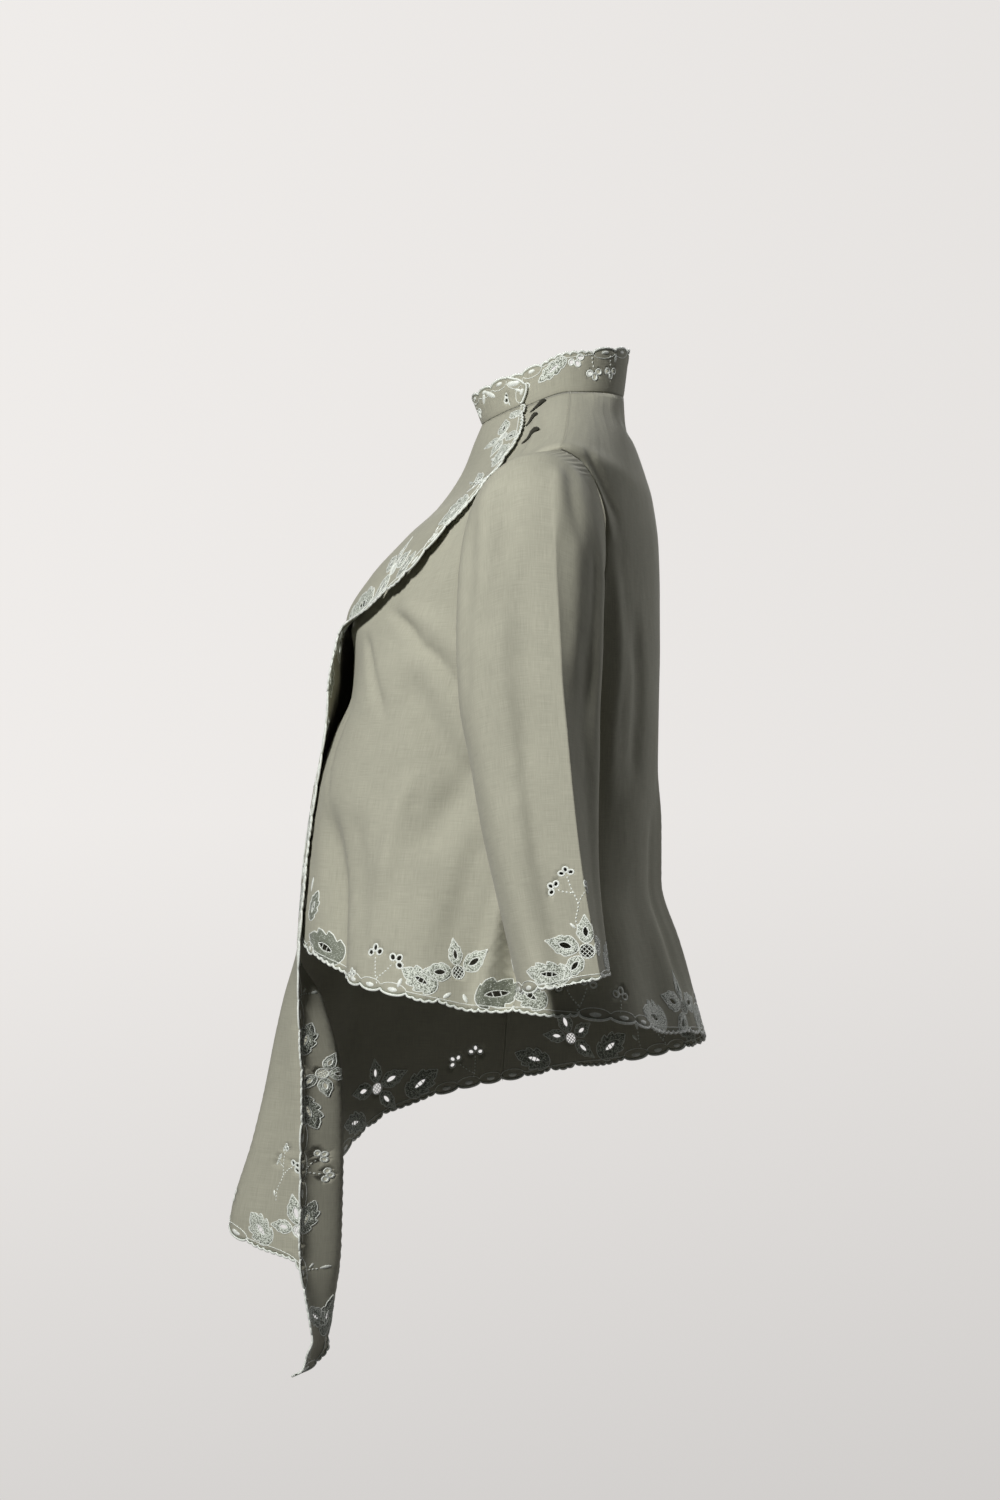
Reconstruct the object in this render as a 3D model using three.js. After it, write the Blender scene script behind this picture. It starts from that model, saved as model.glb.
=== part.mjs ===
// A woman's long-sleeved wrap jacket in the kebaya and beskap style, hollow, in the shape that it has
// when worn. The right front crosses over the left, closes at the left side of a stand collar and falls
// in a long point. Units are millimetres. +Z is up, the wearer faces -Y, and the wearer's left is +X. The
// origin is the middle of the neck seam between the tops of the two shoulder seams.
import * as THREE from 'three';

const CLOTH = 1.2;           // wall of the cloth
const COLLAR_CLOTH = 1.5;    // wall of the stand collar, which is two layers sewn together
const SEAM_GAP = 0.4;        // space between two pieces at a seam
const OVER_LAP = 2;          // how far the right front stands over the left one
const EDGE_FLARE = 13;       // degrees of the right front that lift off with its free edge

const LEFT = 90;             // angles round the figure, in degrees: 0 is the front, 90 the wearer's left
const BACK = 180;
const RIGHT = 270;

const COLOURS = { sage: '#a9a893', collar: '#a6a590', dark: '#3a3a2e' };

// The figure that the jacket is cut for. Each row is one ring round it: how far down it is, then where
// the ring passes the centre front, the sides and the centre back. squareness is the power of the ring's
// superellipse.
const RINGS = [
  { down: 0, frontY: -70, sideX: 62, sideY: 0, backY: 46, squareness: 2 },
  { down: 16, frontY: -76, sideX: 90, sideY: -1, backY: 47, squareness: 1.9 },
  { down: 36, frontY: -86, sideX: 127, sideY: -3, backY: 55, squareness: 1.75 },
  { down: 60, frontY: -108, sideX: 163, sideY: -6, backY: 64, squareness: 1.65 },
  { down: 80, frontY: -133, sideX: 182, sideY: -9, backY: 70, squareness: 1.65 },
  { down: 120, frontY: -163, sideX: 181, sideY: -14, backY: 75, squareness: 1.75 },
  { down: 160, frontY: -182, sideX: 170, sideY: -18, backY: 76, squareness: 1.85 },
  { down: 205, frontY: -187, sideX: 160, sideY: -21, backY: 76, squareness: 2.1 },
  { down: 250, frontY: -193, sideX: 157, sideY: -25, backY: 75, squareness: 2.3 },
  { down: 330, frontY: -211, sideX: 153, sideY: -35, backY: 74, squareness: 2.3 },
  { down: 400, frontY: -220, sideX: 162, sideY: -41, backY: 74, squareness: 2.2 },
  { down: 450, frontY: -223, sideX: 174, sideY: -45, backY: 89, squareness: 2.2 },
  { down: 530, frontY: -223, sideX: 193, sideY: -51, backY: 114, squareness: 2.2 },
  { down: 600, frontY: -221, sideX: 205, sideY: -55, backY: 128, squareness: 2.2 },
  { down: 830, frontY: -223, sideX: 220, sideY: -57, backY: 138, squareness: 2.2 },
];

// The rings are level from the underarm down. Above it they rise over the shoulders: how far the front,
// the sides and the back of a ring are above the depth that it is named for.
const RISES = [
  { down: 0, front: -22, side: 0, back: 1 },
  { down: 16, front: -20, side: 5, back: 0 },
  { down: 36, front: -25, side: 7, back: -2 },
  { down: 60, front: -33, side: 14, back: -4 },
  { down: 80, front: -36, side: 23, back: -5 },
  { down: 120, front: -29, side: 22, back: -4 },
  { down: 160, front: -20, side: 12, back: -3 },
  { down: 205, front: -2, side: 0, back: -1 },
  { down: 250, front: 0, side: 0, back: 0 },
];
const SHOULDER_ROUND = 0.15; // how softly a ring bends where it passes over the shoulder

// The armhole: how far it cuts into the front and the back, in degrees either side of the side seam.
const ARMHOLE = [
  { down: 80, front: 0, back: 0 },
  { down: 86, front: 12, back: 14 },
  { down: 100, front: 20, back: 23 },
  { down: 125, front: 26, back: 28 },
  { down: 150, front: 27, back: 29 },
  { down: 175, front: 23, back: 25 },
  { down: 195, front: 12, back: 13 },
  { down: 205, front: 0, back: 0 },
];

// The free edge of the right front: the angle that it lies at and how far it stands off. It starts on the
// left of the neck, crosses the chest and then falls straight.
const FREE_EDGE = [
  { down: 0, angle: 60, lift: 0 },
  { down: 35, angle: 62.5, lift: 0.6 },
  { down: 52, angle: 59, lift: 1 },
  { down: 75, angle: 60, lift: 1 },
  { down: 92, angle: 56.5, lift: 1.5 },
  { down: 113, angle: 51, lift: 3 },
  { down: 140, angle: 44, lift: 4.5 },
  { down: 165, angle: 29.5, lift: 5 },
  { down: 190, angle: 17, lift: 8 },
  { down: 230, angle: 17, lift: 10 },
  { down: 280, angle: 17, lift: 4 },
  { down: 330, angle: 17, lift: 0.5 },
  { down: 420, angle: 17, lift: 1 },
  { down: 480, angle: 17, lift: 3 },
  { down: 830, angle: 17, lift: 3 },
];

// How far the left front dips where the right front covers it. Under the bust the two part.
const UNDER_DIP = [
  { down: 0, dip: 1.2 },
  { down: 70, dip: 1.2 },
  { down: 130, dip: 3 },
  { down: 180, dip: 4 },
  { down: 215, dip: 10 },
  { down: 245, dip: 12 },
  { down: 275, dip: 5 },
  { down: 310, dip: 1.2 },
];
const SHOULDER_TIP = ARMHOLE[0].down;
const UNDERARM = ARMHOLE[ARMHOLE.length - 1].down;
const UNDER_EDGE_NECK = 26;  // angle of the left front's hidden edge at the neck seam
const UNDER_EDGE_LOW = -32;  // and from the bust down

// The hems, by angle. They drop from the left front round the back to the long point of the right front.
const HEM_LEFT_FRONT = [
  { angle: -32, down: 440 },
  { angle: 0, down: 446 },
  { angle: 18, down: 456 },
  { angle: 45, down: 478 },
  { angle: 75, down: 493 },
  { angle: 90, down: 497 },
];
const HEM_BACK = [
  { angle: 90, down: 497 },
  { angle: 110, down: 504 },
  { angle: 135, down: 514 },
  { angle: 180, down: 531 },
  { angle: 225, down: 560 },
  { angle: 270, down: 584 },
];
const HEM_RIGHT_FRONT = [
  { angle: -90, down: 584 },
  { angle: -60, down: 610 },
  { angle: -35, down: 655 },
  { angle: -16, down: 697 },
  { angle: -9, down: 710 },
  { angle: -3, down: 718 },
  { angle: 2, down: 742 },
  { angle: 7, down: 770 },
  { angle: 12, down: 798 },
  { angle: 17, down: 803 },
];

// The largest folds of the body, as soft ridges (depth over 0) and troughs (under 0). Each starts at the
// first height and is at its deepest at the second.
const FOLDS = [
  { name: 'dart fold', angle: 34, width: 8, from: 320, to: 420, depth: -10 },
  { name: 'left front flute', angle: 56, width: 12, from: 300, to: 470, depth: 7 },
  { name: 'left side trough', angle: 80, width: 9, from: 370, to: 480, depth: -15 },
  { name: 'left back flute', angle: 118, width: 15, from: 330, to: 500, depth: 9 },
  { name: 'left back trough', angle: 142, width: 11, from: 380, to: 510, depth: -9 },
  { name: 'right back flute', angle: 208, width: 15, from: 340, to: 540, depth: 9 },
  { name: 'right back trough', angle: 236, width: 12, from: 380, to: 560, depth: -10 },
  { name: 'right side trough', angle: 266, width: 10, from: 380, to: 560, depth: -13 },
  { name: 'right front flute', angle: 308, width: 15, from: 330, to: 580, depth: 10 },
];

// The long point of the right front hangs in an S: a fold that swings forward, then a trough that lies
// against the wearer, then the free edge, which turns forward again at the tip. A row says how far
// forward each goes.
const TAIL_PARTS = [
  { part: 'fold', angle: -16, width: 11 },
  { part: 'trough', angle: 6.5, width: 6.5 },
  { part: 'edge', angle: 18, width: 6 },
];
const TAIL = [
  { down: 430, fold: 0, trough: 0, edge: 0 },
  { down: 458, fold: 6, trough: 0, edge: 0 },
  { down: 500, fold: 19, trough: -22, edge: 2 },
  { down: 560, fold: 33, trough: -36, edge: 1 },
  { down: 620, fold: 48, trough: -37, edge: 3 },
  { down: 700, fold: 68, trough: -36, edge: 3 },
  { down: 762, fold: 68, trough: -28, edge: -8 },
  { down: 774, fold: 68, trough: -26, edge: -10 },
  { down: 786, fold: 68, trough: -31, edge: -5 },
  { down: 797, fold: 68, trough: -29, edge: -2 },
  { down: 803, fold: 68, trough: -28, edge: 8 },
];

// The sleeve, ring by ring, down the wearer's left arm. outer and inner are the ring's two ends across
// the arm, midY its middle and halfDepth half its size from front to back. press is how sharply its
// outside is pressed, and creaseTurn where that crease is round the arm: 360 is the outside, 270 the back.
const SLEEVE = [
  { ring: 0, outerX: 208, outerZ: -62, innerX: 164, innerZ: -207,
    midY: -30, halfDepth: 55, press: 0, creaseTurn: 358 },
  { ring: 1, outerX: 232, outerZ: -82, innerX: 166, innerZ: -213,
    midY: -32, halfDepth: 56, press: 0.2, creaseTurn: 358 },
  { ring: 2, outerX: 248, outerZ: -118, innerX: 167, innerZ: -224,
    midY: -33, halfDepth: 57, press: 0.5, creaseTurn: 356 },
  { ring: 3, outerX: 257, outerZ: -168, innerX: 167, innerZ: -242,
    midY: -34, halfDepth: 57, press: 0.8, creaseTurn: 347 },
  { ring: 4, outerX: 263, outerZ: -226, innerX: 167, innerZ: -276,
    midY: -34, halfDepth: 55, press: 1, creaseTurn: 338 },
  { ring: 5, outerX: 268, outerZ: -284, innerX: 168, innerZ: -318,
    midY: -30, halfDepth: 50, press: 1, creaseTurn: 331 },
  { ring: 6, outerX: 274, outerZ: -340, innerX: 172, innerZ: -362,
    midY: -26, halfDepth: 45, press: 1, creaseTurn: 324 },
  { ring: 7, outerX: 281, outerZ: -392, innerX: 179, innerZ: -404,
    midY: -20, halfDepth: 40, press: 1, creaseTurn: 318 },
  { ring: 8, outerX: 288, outerZ: -436, innerX: 186, innerZ: -442,
    midY: -13, halfDepth: 37, press: 1, creaseTurn: 314 },
  { ring: 9, outerX: 294, outerZ: -470, innerX: 193, innerZ: -474,
    midY: -7, halfDepth: 35, press: 1, creaseTurn: 313 },
];
const SLEEVE_RINGS = SLEEVE.length;
const SLEEVE_CLEARANCE = 0.4;
const ELBOW_RING = 3;        // the rings tilt from here down
const CUFF_TILT = 7;         // how far the front of the cuff is below its middle
const ARMHOLE_MIDDLE = new THREE.Vector3(168, -30, -130);
const CREASE_WIDTH = 22;     // degrees round the arm
const CREASE_DEPTH = 0.12;   // share of the sleeve's own half width
const FLAT_TURN = 35;        // the outside is pressed flat from the crease to the front, with its middle here
const FLAT_WIDTH = 38;
const FLAT_DEPTH = 0.14;

// The stand collar winds round the neck once and laps over its own start.
const COLLAR = {
  from: 32, endLow: 419, endMiddle: 423, endTop: 411,
  frontHeight: 24, sideHeight: 33, backHeight: 40, frontLean: 9, backLean: 5,
};

const COLLAR_CLEARANCE = 0.6;

// Three dark cord loops beside the free edge, on the left of the neck, where the wrap fastens. Each is a
// short bar on the left front, from one place on it to another.
const LOOPS = [
  { name: 'loop_1', fromAngle: 65, fromDown: 13, toAngle: 72.5, toDown: 4 },
  { name: 'loop_2', fromAngle: 65, fromDown: 25, toAngle: 72, toDown: 18 },
  { name: 'loop_3', fromAngle: 66, fromDown: 41, toAngle: 74, toDown: 36 },
];
const LOOP_RADIUS = 1.3;
const LOOP_CLEARANCE = 0.9;  // under the middle of a bar the surface bulges by up to half a millimetre

// Rows of the panels' grids, which match at the side seams: below the underarm, beside the armhole and
// above it.
const ROWS = { skirt: 14, armhole: 8, shoulder: 4, total: 26 };
const COLUMNS = { leftFront: 16, rightFront: 22, back: 22 };
const SLEEVE_GRID = { around: 2 * ROWS.armhole, cap: 3 };
const COLLAR_GRID = { along: 38, up: 2 };

const radians = (degrees) => (degrees * Math.PI) / 180;
const mix = (a, b, share) => a + (b - a) * share;
const clamp = (value, low, high) => Math.min(high, Math.max(low, value));
const ease = (from, to, value) => {
  const share = clamp((value - from) / (to - from), 0, 1);
  return share * share * (3 - 2 * share);
};
const bump = (distance, width) => Math.exp(-((distance / width) ** 2));

// A smooth curve through one column of a table, with no overshoot between its rows.
function along(table, key, column, at) {
  const last = table.length - 1;
  if (at <= table[0][key]) return table[0][column];
  if (at >= table[last][key]) return table[last][column];
  let i = 0;
  while (at > table[i + 1][key]) i++;
  const slope = (k) => (table[k + 1][column] - table[k][column]) / (table[k + 1][key] - table[k][key]);
  const tangent = (k) => {
    if (k === 0) return slope(0);
    if (k === last) return slope(last - 1);
    const before = slope(k - 1);
    const after = slope(k);
    return before * after <= 0 ? 0 : (2 * before * after) / (before + after);
  };
  const step = table[i + 1][key] - table[i][key];
  const t = (at - table[i][key]) / step;
  const t2 = t * t;
  const t3 = t2 * t;
  return (2 * t3 - 3 * t2 + 1) * table[i][column] + (t3 - 2 * t2 + t) * step * tangent(i)
    + (3 * t2 - 2 * t3) * table[i + 1][column] + (t3 - t2) * step * tangent(i + 1);
}

// How far round from the side a point of a ring is, from 0 there to 1 at the centre front or back. It
// follows a flat tilted ring, rounded where it passes over the shoulder. c is the cosine of the point's
// angle.
function tilt(c) {
  const round = SHOULDER_ROUND;
  return (Math.hypot(c, round) - round) / (Math.hypot(1, round) - round);
}

// A point on the bare figure, at an angle round it and so far down it.
function figure(angle, down) {
  const ring = (column) => along(RINGS, 'down', column, down);
  const c = Math.cos(radians(angle));
  const s = Math.sin(radians(angle));
  const power = ring('squareness');
  const reach = (Math.abs(c) ** power + Math.abs(s) ** power) ** (-1 / power);
  const ahead = c >= 0;
  const depth = ahead ? ring('sideY') - ring('frontY') : ring('backY') - ring('sideY');
  const rise = (column) => along(RISES, 'down', column, down);
  return new THREE.Vector3(
    ring('sideX') * s * reach,
    ring('sideY') - depth * c * reach,
    mix(rise('side'), rise(ahead ? 'front' : 'back'), tilt(c)) - down,
  );
}

// The outward direction of a surface, from its points a little way to each side.
function outward(surface, u, v, step = 1e-3) {
  const across = surface(u + step, v).sub(surface(u - step, v));
  const up = surface(u, v + step).sub(surface(u, v - step));
  return across.cross(up).normalize();
}

// The figure with its folds, moved out by a distance.
function folded(angle, down, out) {
  const round = (angle + 360) % 360;
  const place = figure(angle, down);
  const step = 0.5;
  const normal = figure(angle + step, down).sub(figure(angle - step, down))
    .cross(figure(angle, down - step).sub(figure(angle, down + step))).normalize();
  const depth = FOLDS.reduce((sum, fold) => {
    const apart = Math.abs(round - fold.angle);
    const across = bump(Math.min(apart, 360 - apart), fold.width);
    return sum + fold.depth * across * ease(fold.from, fold.to, down);
  }, 0);
  return place.addScaledVector(normal, out + depth);
}

// Panels run from u = 0 at their front or right edge to u = 1 at the other, and from v = 0 at the hem to
// v = 1 at the neck and the shoulder. Both sides stop short of the seam line by half the gap.
function sideAngle(seam, way, side, down) {
  const reach = Math.abs(along(RINGS, 'down', side + 'Y', down) - along(RINGS, 'down', 'sideY', down));
  const half = THREE.MathUtils.radToDeg(SEAM_GAP / 2 / reach);
  return seam + way * (along(ARMHOLE, 'down', side, down) + half);
}

function downAt(hem, angle, v) {
  const row = v * ROWS.total;
  const low = along(hem, 'angle', 'down', angle);
  if (row <= ROWS.skirt) return mix(low, UNDERARM, row / ROWS.skirt);
  const rise = (row - ROWS.skirt) / ROWS.armhole;
  if (rise <= 1) return mix(UNDERARM, SHOULDER_TIP, (1 - Math.cos(Math.PI * rise)) / 2);
  return mix(SHOULDER_TIP, SEAM_GAP / 2, (row - ROWS.skirt - ROWS.armhole) / ROWS.shoulder);
}

function leftFront(u, v) {
  const down = downAt(HEM_LEFT_FRONT, mix(UNDER_EDGE_LOW, LEFT, u), v);
  const edge = mix(UNDER_EDGE_NECK, UNDER_EDGE_LOW, ease(0, 200, down));
  const angle = mix(edge, sideAngle(LEFT, -1, 'front', down), u);
  const covered = 1 - ease(-6, 24, angle - along(FREE_EDGE, 'down', 'angle', down));
  return folded(angle, down, -along(UNDER_DIP, 'down', 'dip', down) * covered);
}

// How far forward the long point hangs at an angle and a height.
function tailForward(angle, down) {
  return TAIL_PARTS.reduce((sum, { part, angle: middle, width }) => (
    sum + along(TAIL, 'down', part, down) * bump(angle - middle, width)
  ), 0);
}

function rightFront(u, v) {
  const side = -LEFT;
  const low = FREE_EDGE[FREE_EDGE.length - 1].angle;
  const down = downAt(HEM_RIGHT_FRONT, mix(side, low, u), v);
  const edge = along(FREE_EDGE, 'down', 'angle', down);
  const angle = mix(sideAngle(side, 1, 'front', down), edge, u);
  const over = OVER_LAP * ease(-62, -36, angle);
  const lift = along(FREE_EDGE, 'down', 'lift', down) * ease(edge - EDGE_FLARE, edge, angle);
  const point = folded(angle, down, over + lift);
  point.y -= tailForward(angle, down);
  return point;
}

function back(u, v) {
  const down = downAt(HEM_BACK, mix(LEFT, RIGHT, u), v);
  const angle = mix(sideAngle(LEFT, 1, 'back', down), sideAngle(RIGHT, -1, 'back', down), u);
  return folded(angle, down, 0);
}

// The armhole's edge on the body, at a turn round it: 0 at the shoulder, 90 at the front, 180 at the
// underarm.
function armholePoint(turn) {
  const down = mix(SHOULDER_TIP, UNDERARM, (1 - Math.cos(radians(turn))) / 2);
  const ahead = turn <= 180;
  const cut = along(ARMHOLE, 'down', ahead ? 'front' : 'back', down);
  return figure(ahead ? LEFT - cut : LEFT + cut, down);
}

// The sleeve's rings below the seam, at a place down the table and a turn round the arm.
function sleeveRing(index, turn) {
  const at = (column) => along(SLEEVE, 'ring', column, index);
  const c = Math.cos(radians(turn));
  const s = Math.sin(radians(turn));
  const apart = (middle) => Math.abs(((turn + 540 - middle) % 360) - 180);
  const crease = CREASE_DEPTH * bump(apart(at('creaseTurn')), CREASE_WIDTH);
  const reach = 1 + at('press') * (crease - FLAT_DEPTH * bump(apart(FLAT_TURN), FLAT_WIDTH));
  const frontDrop = CUFF_TILT * ease(ELBOW_RING, SLEEVE_RINGS - 1, index);
  return new THREE.Vector3(
    mix(at('innerX'), at('outerX'), (1 + c * reach) / 2),
    at('midY') - at('halfDepth') * s * reach,
    mix(at('innerZ'), at('outerZ'), (1 + c) / 2) - frontDrop * s,
  );
}

// The whole sleeve. It leaves the armhole's edge and then follows its rings. u = 0 is at the shoulder and
// v = 1 at the armhole.
function sleeve(u, v) {
  const turn = (((1 - u) * 360) % 360 + 360) % 360;
  const at = (1 - v) * (SLEEVE_RINGS - 1 + SLEEVE_GRID.cap);
  if (at >= SLEEVE_GRID.cap) return sleeveRing(at - SLEEVE_GRID.cap, turn);
  const seam = armholePoint(turn);
  const inward = ARMHOLE_MIDDLE.clone().sub(seam).normalize();
  const start = seam.clone().addScaledVector(inward, SLEEVE_CLEARANCE);
  start.x += SLEEVE_CLEARANCE;
  return start.lerp(sleeveRing(0, turn), at / SLEEVE_GRID.cap);
}

// The collar: a strip that leans with the neck, wound from under the overlap to its free end.
function collar(u, v) {
  const low = mix(COLLAR.endLow, COLLAR.endMiddle, ease(0, 0.5, v));
  const end = mix(low, COLLAR.endTop, ease(0.5, 1, v));
  const angle = mix(COLLAR.from, end, u);
  const round = angle > BACK ? angle - 360 : angle;
  const c = Math.cos(radians(angle));
  const covered = 1 - ease(54, 84, angle);
  const over = OVER_LAP * ease(-62, -36, round) * ease(BACK, BACK + 1, angle);
  const base = folded(angle, 0, over - UNDER_DIP[0].dip * covered);
  const height = mix(COLLAR.sideHeight, c >= 0 ? COLLAR.frontHeight : COLLAR.backHeight, Math.abs(c));
  base.y += v * c * (c >= 0 ? -COLLAR.frontLean : -COLLAR.backLean);
  base.z += COLLAR_CLEARANCE + height * v;
  return base;
}

// Turns a grid of points into a closed wall: the outer face, the inner face a wall's thickness inside it,
// and the strips that join them along the open edges.
function wall(surface, across, up, thickness, closed = false) {
  const outer = [];
  const inner = [];
  const columns = closed ? across : across + 1;
  for (let j = 0; j <= up; j++) {
    for (let i = 0; i < columns; i++) {
      const u = i / across;
      const v = j / up;
      const point = surface(u, v);
      outer.push(point);
      inner.push(point.clone().addScaledVector(outward(surface, u, v), -thickness));
    }
  }
  const count = outer.length;
  const at = (i, j, layer) => layer * count + j * columns + (closed ? i % across : i);
  const faces = [];
  const quad = (a, b, c, d) => faces.push(a, b, c, a, c, d);
  for (let j = 0; j < up; j++) {
    for (let i = 0; i < across; i++) {
      quad(at(i, j, 0), at(i + 1, j, 0), at(i + 1, j + 1, 0), at(i, j + 1, 0));
      quad(at(i, j, 1), at(i, j + 1, 1), at(i + 1, j + 1, 1), at(i + 1, j, 1));
    }
  }
  for (let i = 0; i < across; i++) {
    quad(at(i, 0, 0), at(i, 0, 1), at(i + 1, 0, 1), at(i + 1, 0, 0));
    quad(at(i, up, 0), at(i + 1, up, 0), at(i + 1, up, 1), at(i, up, 1));
  }
  for (let j = 0; j < up && !closed; j++) {
    quad(at(0, j, 0), at(0, j + 1, 0), at(0, j + 1, 1), at(0, j, 1));
    quad(at(across, j, 0), at(across, j, 1), at(across, j + 1, 1), at(across, j + 1, 0));
  }
  const geometry = new THREE.BufferGeometry().setFromPoints([...outer, ...inner]);
  geometry.setIndex(faces);
  geometry.computeVertexNormals();
  return geometry;
}

// The same geometry on the wearer's other side.
function mirrored(geometry) {
  const other = geometry.clone().scale(-1, 1, 1);
  const index = other.index.array;
  for (let i = 0; i < index.length; i += 3) [index[i + 1], index[i + 2]] = [index[i + 2], index[i + 1]];
  other.computeVertexNormals();
  return other;
}

function cloth(colour) {
  return new THREE.MeshStandardMaterial({ color: colour, roughness: 0.85, metalness: 0 });
}

// A cord loop: a short round bar with domed ends, laid on the left front.
function loop({ name, fromAngle, fromDown, toAngle, toDown }) {
  const start = folded(fromAngle, fromDown, LOOP_CLEARANCE + LOOP_RADIUS);
  const end = folded(toAngle, toDown, LOOP_CLEARANCE + LOOP_RADIUS);
  const length = start.distanceTo(end);
  const shape = new THREE.CapsuleGeometry(LOOP_RADIUS, length - 2 * LOOP_RADIUS, 3, 8);
  const mesh = new THREE.Mesh(shape, cloth(COLOURS.dark));
  mesh.name = name;
  mesh.position.lerpVectors(start, end, 0.5);
  mesh.quaternion.setFromUnitVectors(new THREE.Vector3(0, 1, 0), end.sub(start).normalize());
  return mesh;
}

function piece(name, geometry, colour = COLOURS.sage) {
  const mesh = new THREE.Mesh(geometry, cloth(colour));
  mesh.name = name;
  return mesh;
}

const jacket = new THREE.Group();
jacket.add(piece('left_front', wall(leftFront, COLUMNS.leftFront, ROWS.total, CLOTH)));
jacket.add(piece('right_front', wall(rightFront, COLUMNS.rightFront, ROWS.total, CLOTH)));
jacket.add(piece('back', wall(back, COLUMNS.back, ROWS.total, CLOTH)));
const leftSleeve = wall(sleeve, SLEEVE_GRID.around, SLEEVE_RINGS - 1 + SLEEVE_GRID.cap, CLOTH, true);
jacket.add(piece('left_sleeve', leftSleeve));
jacket.add(piece('right_sleeve', mirrored(leftSleeve)));
jacket.add(piece('collar', wall(collar, COLLAR_GRID.along, COLLAR_GRID.up, COLLAR_CLOTH), COLOURS.collar));
for (const one of LOOPS) jacket.add(loop(one));

export default jacket;
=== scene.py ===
"""A woman's long-sleeved wrap jacket of sage cotton, in the kebaya and beskap style, with pale embroidered edges.

The cloth is cut flat and wrapped on the worn shape: a point of a panel is (across, down) on its flat sheet, in
millimetres, and the panel's surface turns it into a place. The edges carry borders, whose own coordinates are
how far along the edge a point is and how far in from it, and the embroidery is drawn in those and then sewn on.
"""
import math

import bmesh
import bpy
import numpy as np
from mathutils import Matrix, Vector
from mathutils.geometry import delaunay_2d_cdt
from mathutils.kdtree import KDTree


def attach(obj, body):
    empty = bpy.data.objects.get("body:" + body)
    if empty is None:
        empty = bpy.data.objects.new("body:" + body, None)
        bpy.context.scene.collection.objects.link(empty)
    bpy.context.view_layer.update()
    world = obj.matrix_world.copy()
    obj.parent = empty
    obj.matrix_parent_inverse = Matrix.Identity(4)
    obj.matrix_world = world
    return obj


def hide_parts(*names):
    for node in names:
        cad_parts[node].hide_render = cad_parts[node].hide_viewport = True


MM = 0.001
CAMERA_PLACE = (2.951, -0.057, -0.292)
CAMERA_LENS = 85

CLOTH = 0.7                  # cotton, as it is modelled
COLLAR_CLOTH = 1.3           # two layers of it
OVER_LAP = 2                 # how far the right front stands over the left one
LAP_START, LAP_FULL = -62, -36   # the angles that it rises between
EDGE_FLARE = 13              # degrees of the right front that lift off with its free edge
LEFT, BACK, RIGHT = 90, 180, 270


# ---------------------------------------------------------------- tables and curves

def table(columns, *rows):
    """Rows of numbers under named columns. The first column is the one that the rows are in order of."""
    return dict(zip(columns.split(), np.array(rows, float).T))


def along(rows, column, at):
    """A smooth curve through one column, with no overshoot between its rows."""
    keys, values = next(iter(rows.values())), rows[column]
    at = np.clip(at, keys[0], keys[-1])
    i = np.clip(np.searchsorted(keys, at, side="right") - 1, 0, len(keys) - 2)
    steps = np.diff(keys)
    slopes = np.diff(values) / steps
    before, after = slopes[:-1], slopes[1:]
    same = before * after > 0
    inner = np.where(same, 2 * before * after / np.where(same, before + after, 1), 0)
    tangents = np.concatenate([slopes[:1], inner, slopes[-1:]])
    step = steps[i]
    t = (at - keys[i]) / step
    t2, t3 = t * t, t * t * t
    return ((2 * t3 - 3 * t2 + 1) * values[i] + (t3 - 2 * t2 + t) * step * tangents[i]
            + (3 * t2 - 2 * t3) * values[i + 1] + (t3 - t2) * step * tangents[i + 1])


def mix(a, b, share):
    return a + (b - a) * share


def ease(start, end, value):
    share = np.clip((value - start) / (end - start), 0, 1)
    return share * share * (3 - 2 * share)


def bump(distance, width):
    return np.exp(-((distance / width) ** 2))


def unit(vectors):
    return vectors / np.linalg.norm(vectors, axis=-1, keepdims=True)


def run_along(path):
    """How far along a line each of its points is."""
    return np.concatenate([[0], np.cumsum(np.linalg.norm(np.diff(path, axis=0), axis=1))])


def near_box(points, line, reach=0.0):
    """Which points are within reach of the box round a line."""
    return ((points > line.min(0) - reach) & (points < line.max(0) + reach)).all(1)


def curve(points, steps=8):
    """A smooth line through a few points, with so many steps between each two."""
    points = np.array(points, float)
    ends = np.concatenate([[2 * points[0] - points[1]], points, [2 * points[-1] - points[-2]]])
    t = np.linspace(0, 1, steps, endpoint=False)[:, None]
    parts = []
    for a, b, c, d in zip(ends, ends[1:], ends[2:], ends[3:]):
        parts.append(0.5 * (2 * b + (c - a) * t + (2 * a - 5 * b + 4 * c - d) * t ** 2
                            + (3 * b - a - 3 * c + d) * t ** 3))
    return np.concatenate(parts + [points[-1:]])


# ---------------------------------------------------------------- the worn shape

RINGS = table(
    "down frontY sideX sideY backY squareness",
    (0, -70, 62, 0, 46, 2), (16, -76, 90, -1, 47, 1.9), (36, -86, 127, -3, 55, 1.75),
    (60, -108, 163, -6, 64, 1.65), (80, -133, 182, -9, 70, 1.65), (120, -163, 181, -14, 75, 1.75),
    (160, -182, 170, -18, 76, 1.85), (205, -187, 160, -21, 76, 2.1), (250, -193, 157, -25, 75, 2.3),
    (330, -211, 153, -35, 74, 2.3), (400, -220, 162, -41, 74, 2.2), (450, -223, 174, -45, 89, 2.2),
    (530, -223, 193, -51, 114, 2.2), (600, -221, 205, -55, 128, 2.2), (830, -223, 220, -57, 138, 2.2))
RISES = table(
    "down front side back",
    (0, -22, 0, 1), (16, -20, 5, 0), (36, -25, 7, -2), (60, -33, 14, -4), (80, -36, 23, -5),
    (120, -29, 22, -4), (160, -20, 12, -3), (205, -2, 0, -1), (250, 0, 0, 0))
SHOULDER_ROUND = 0.15
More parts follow.
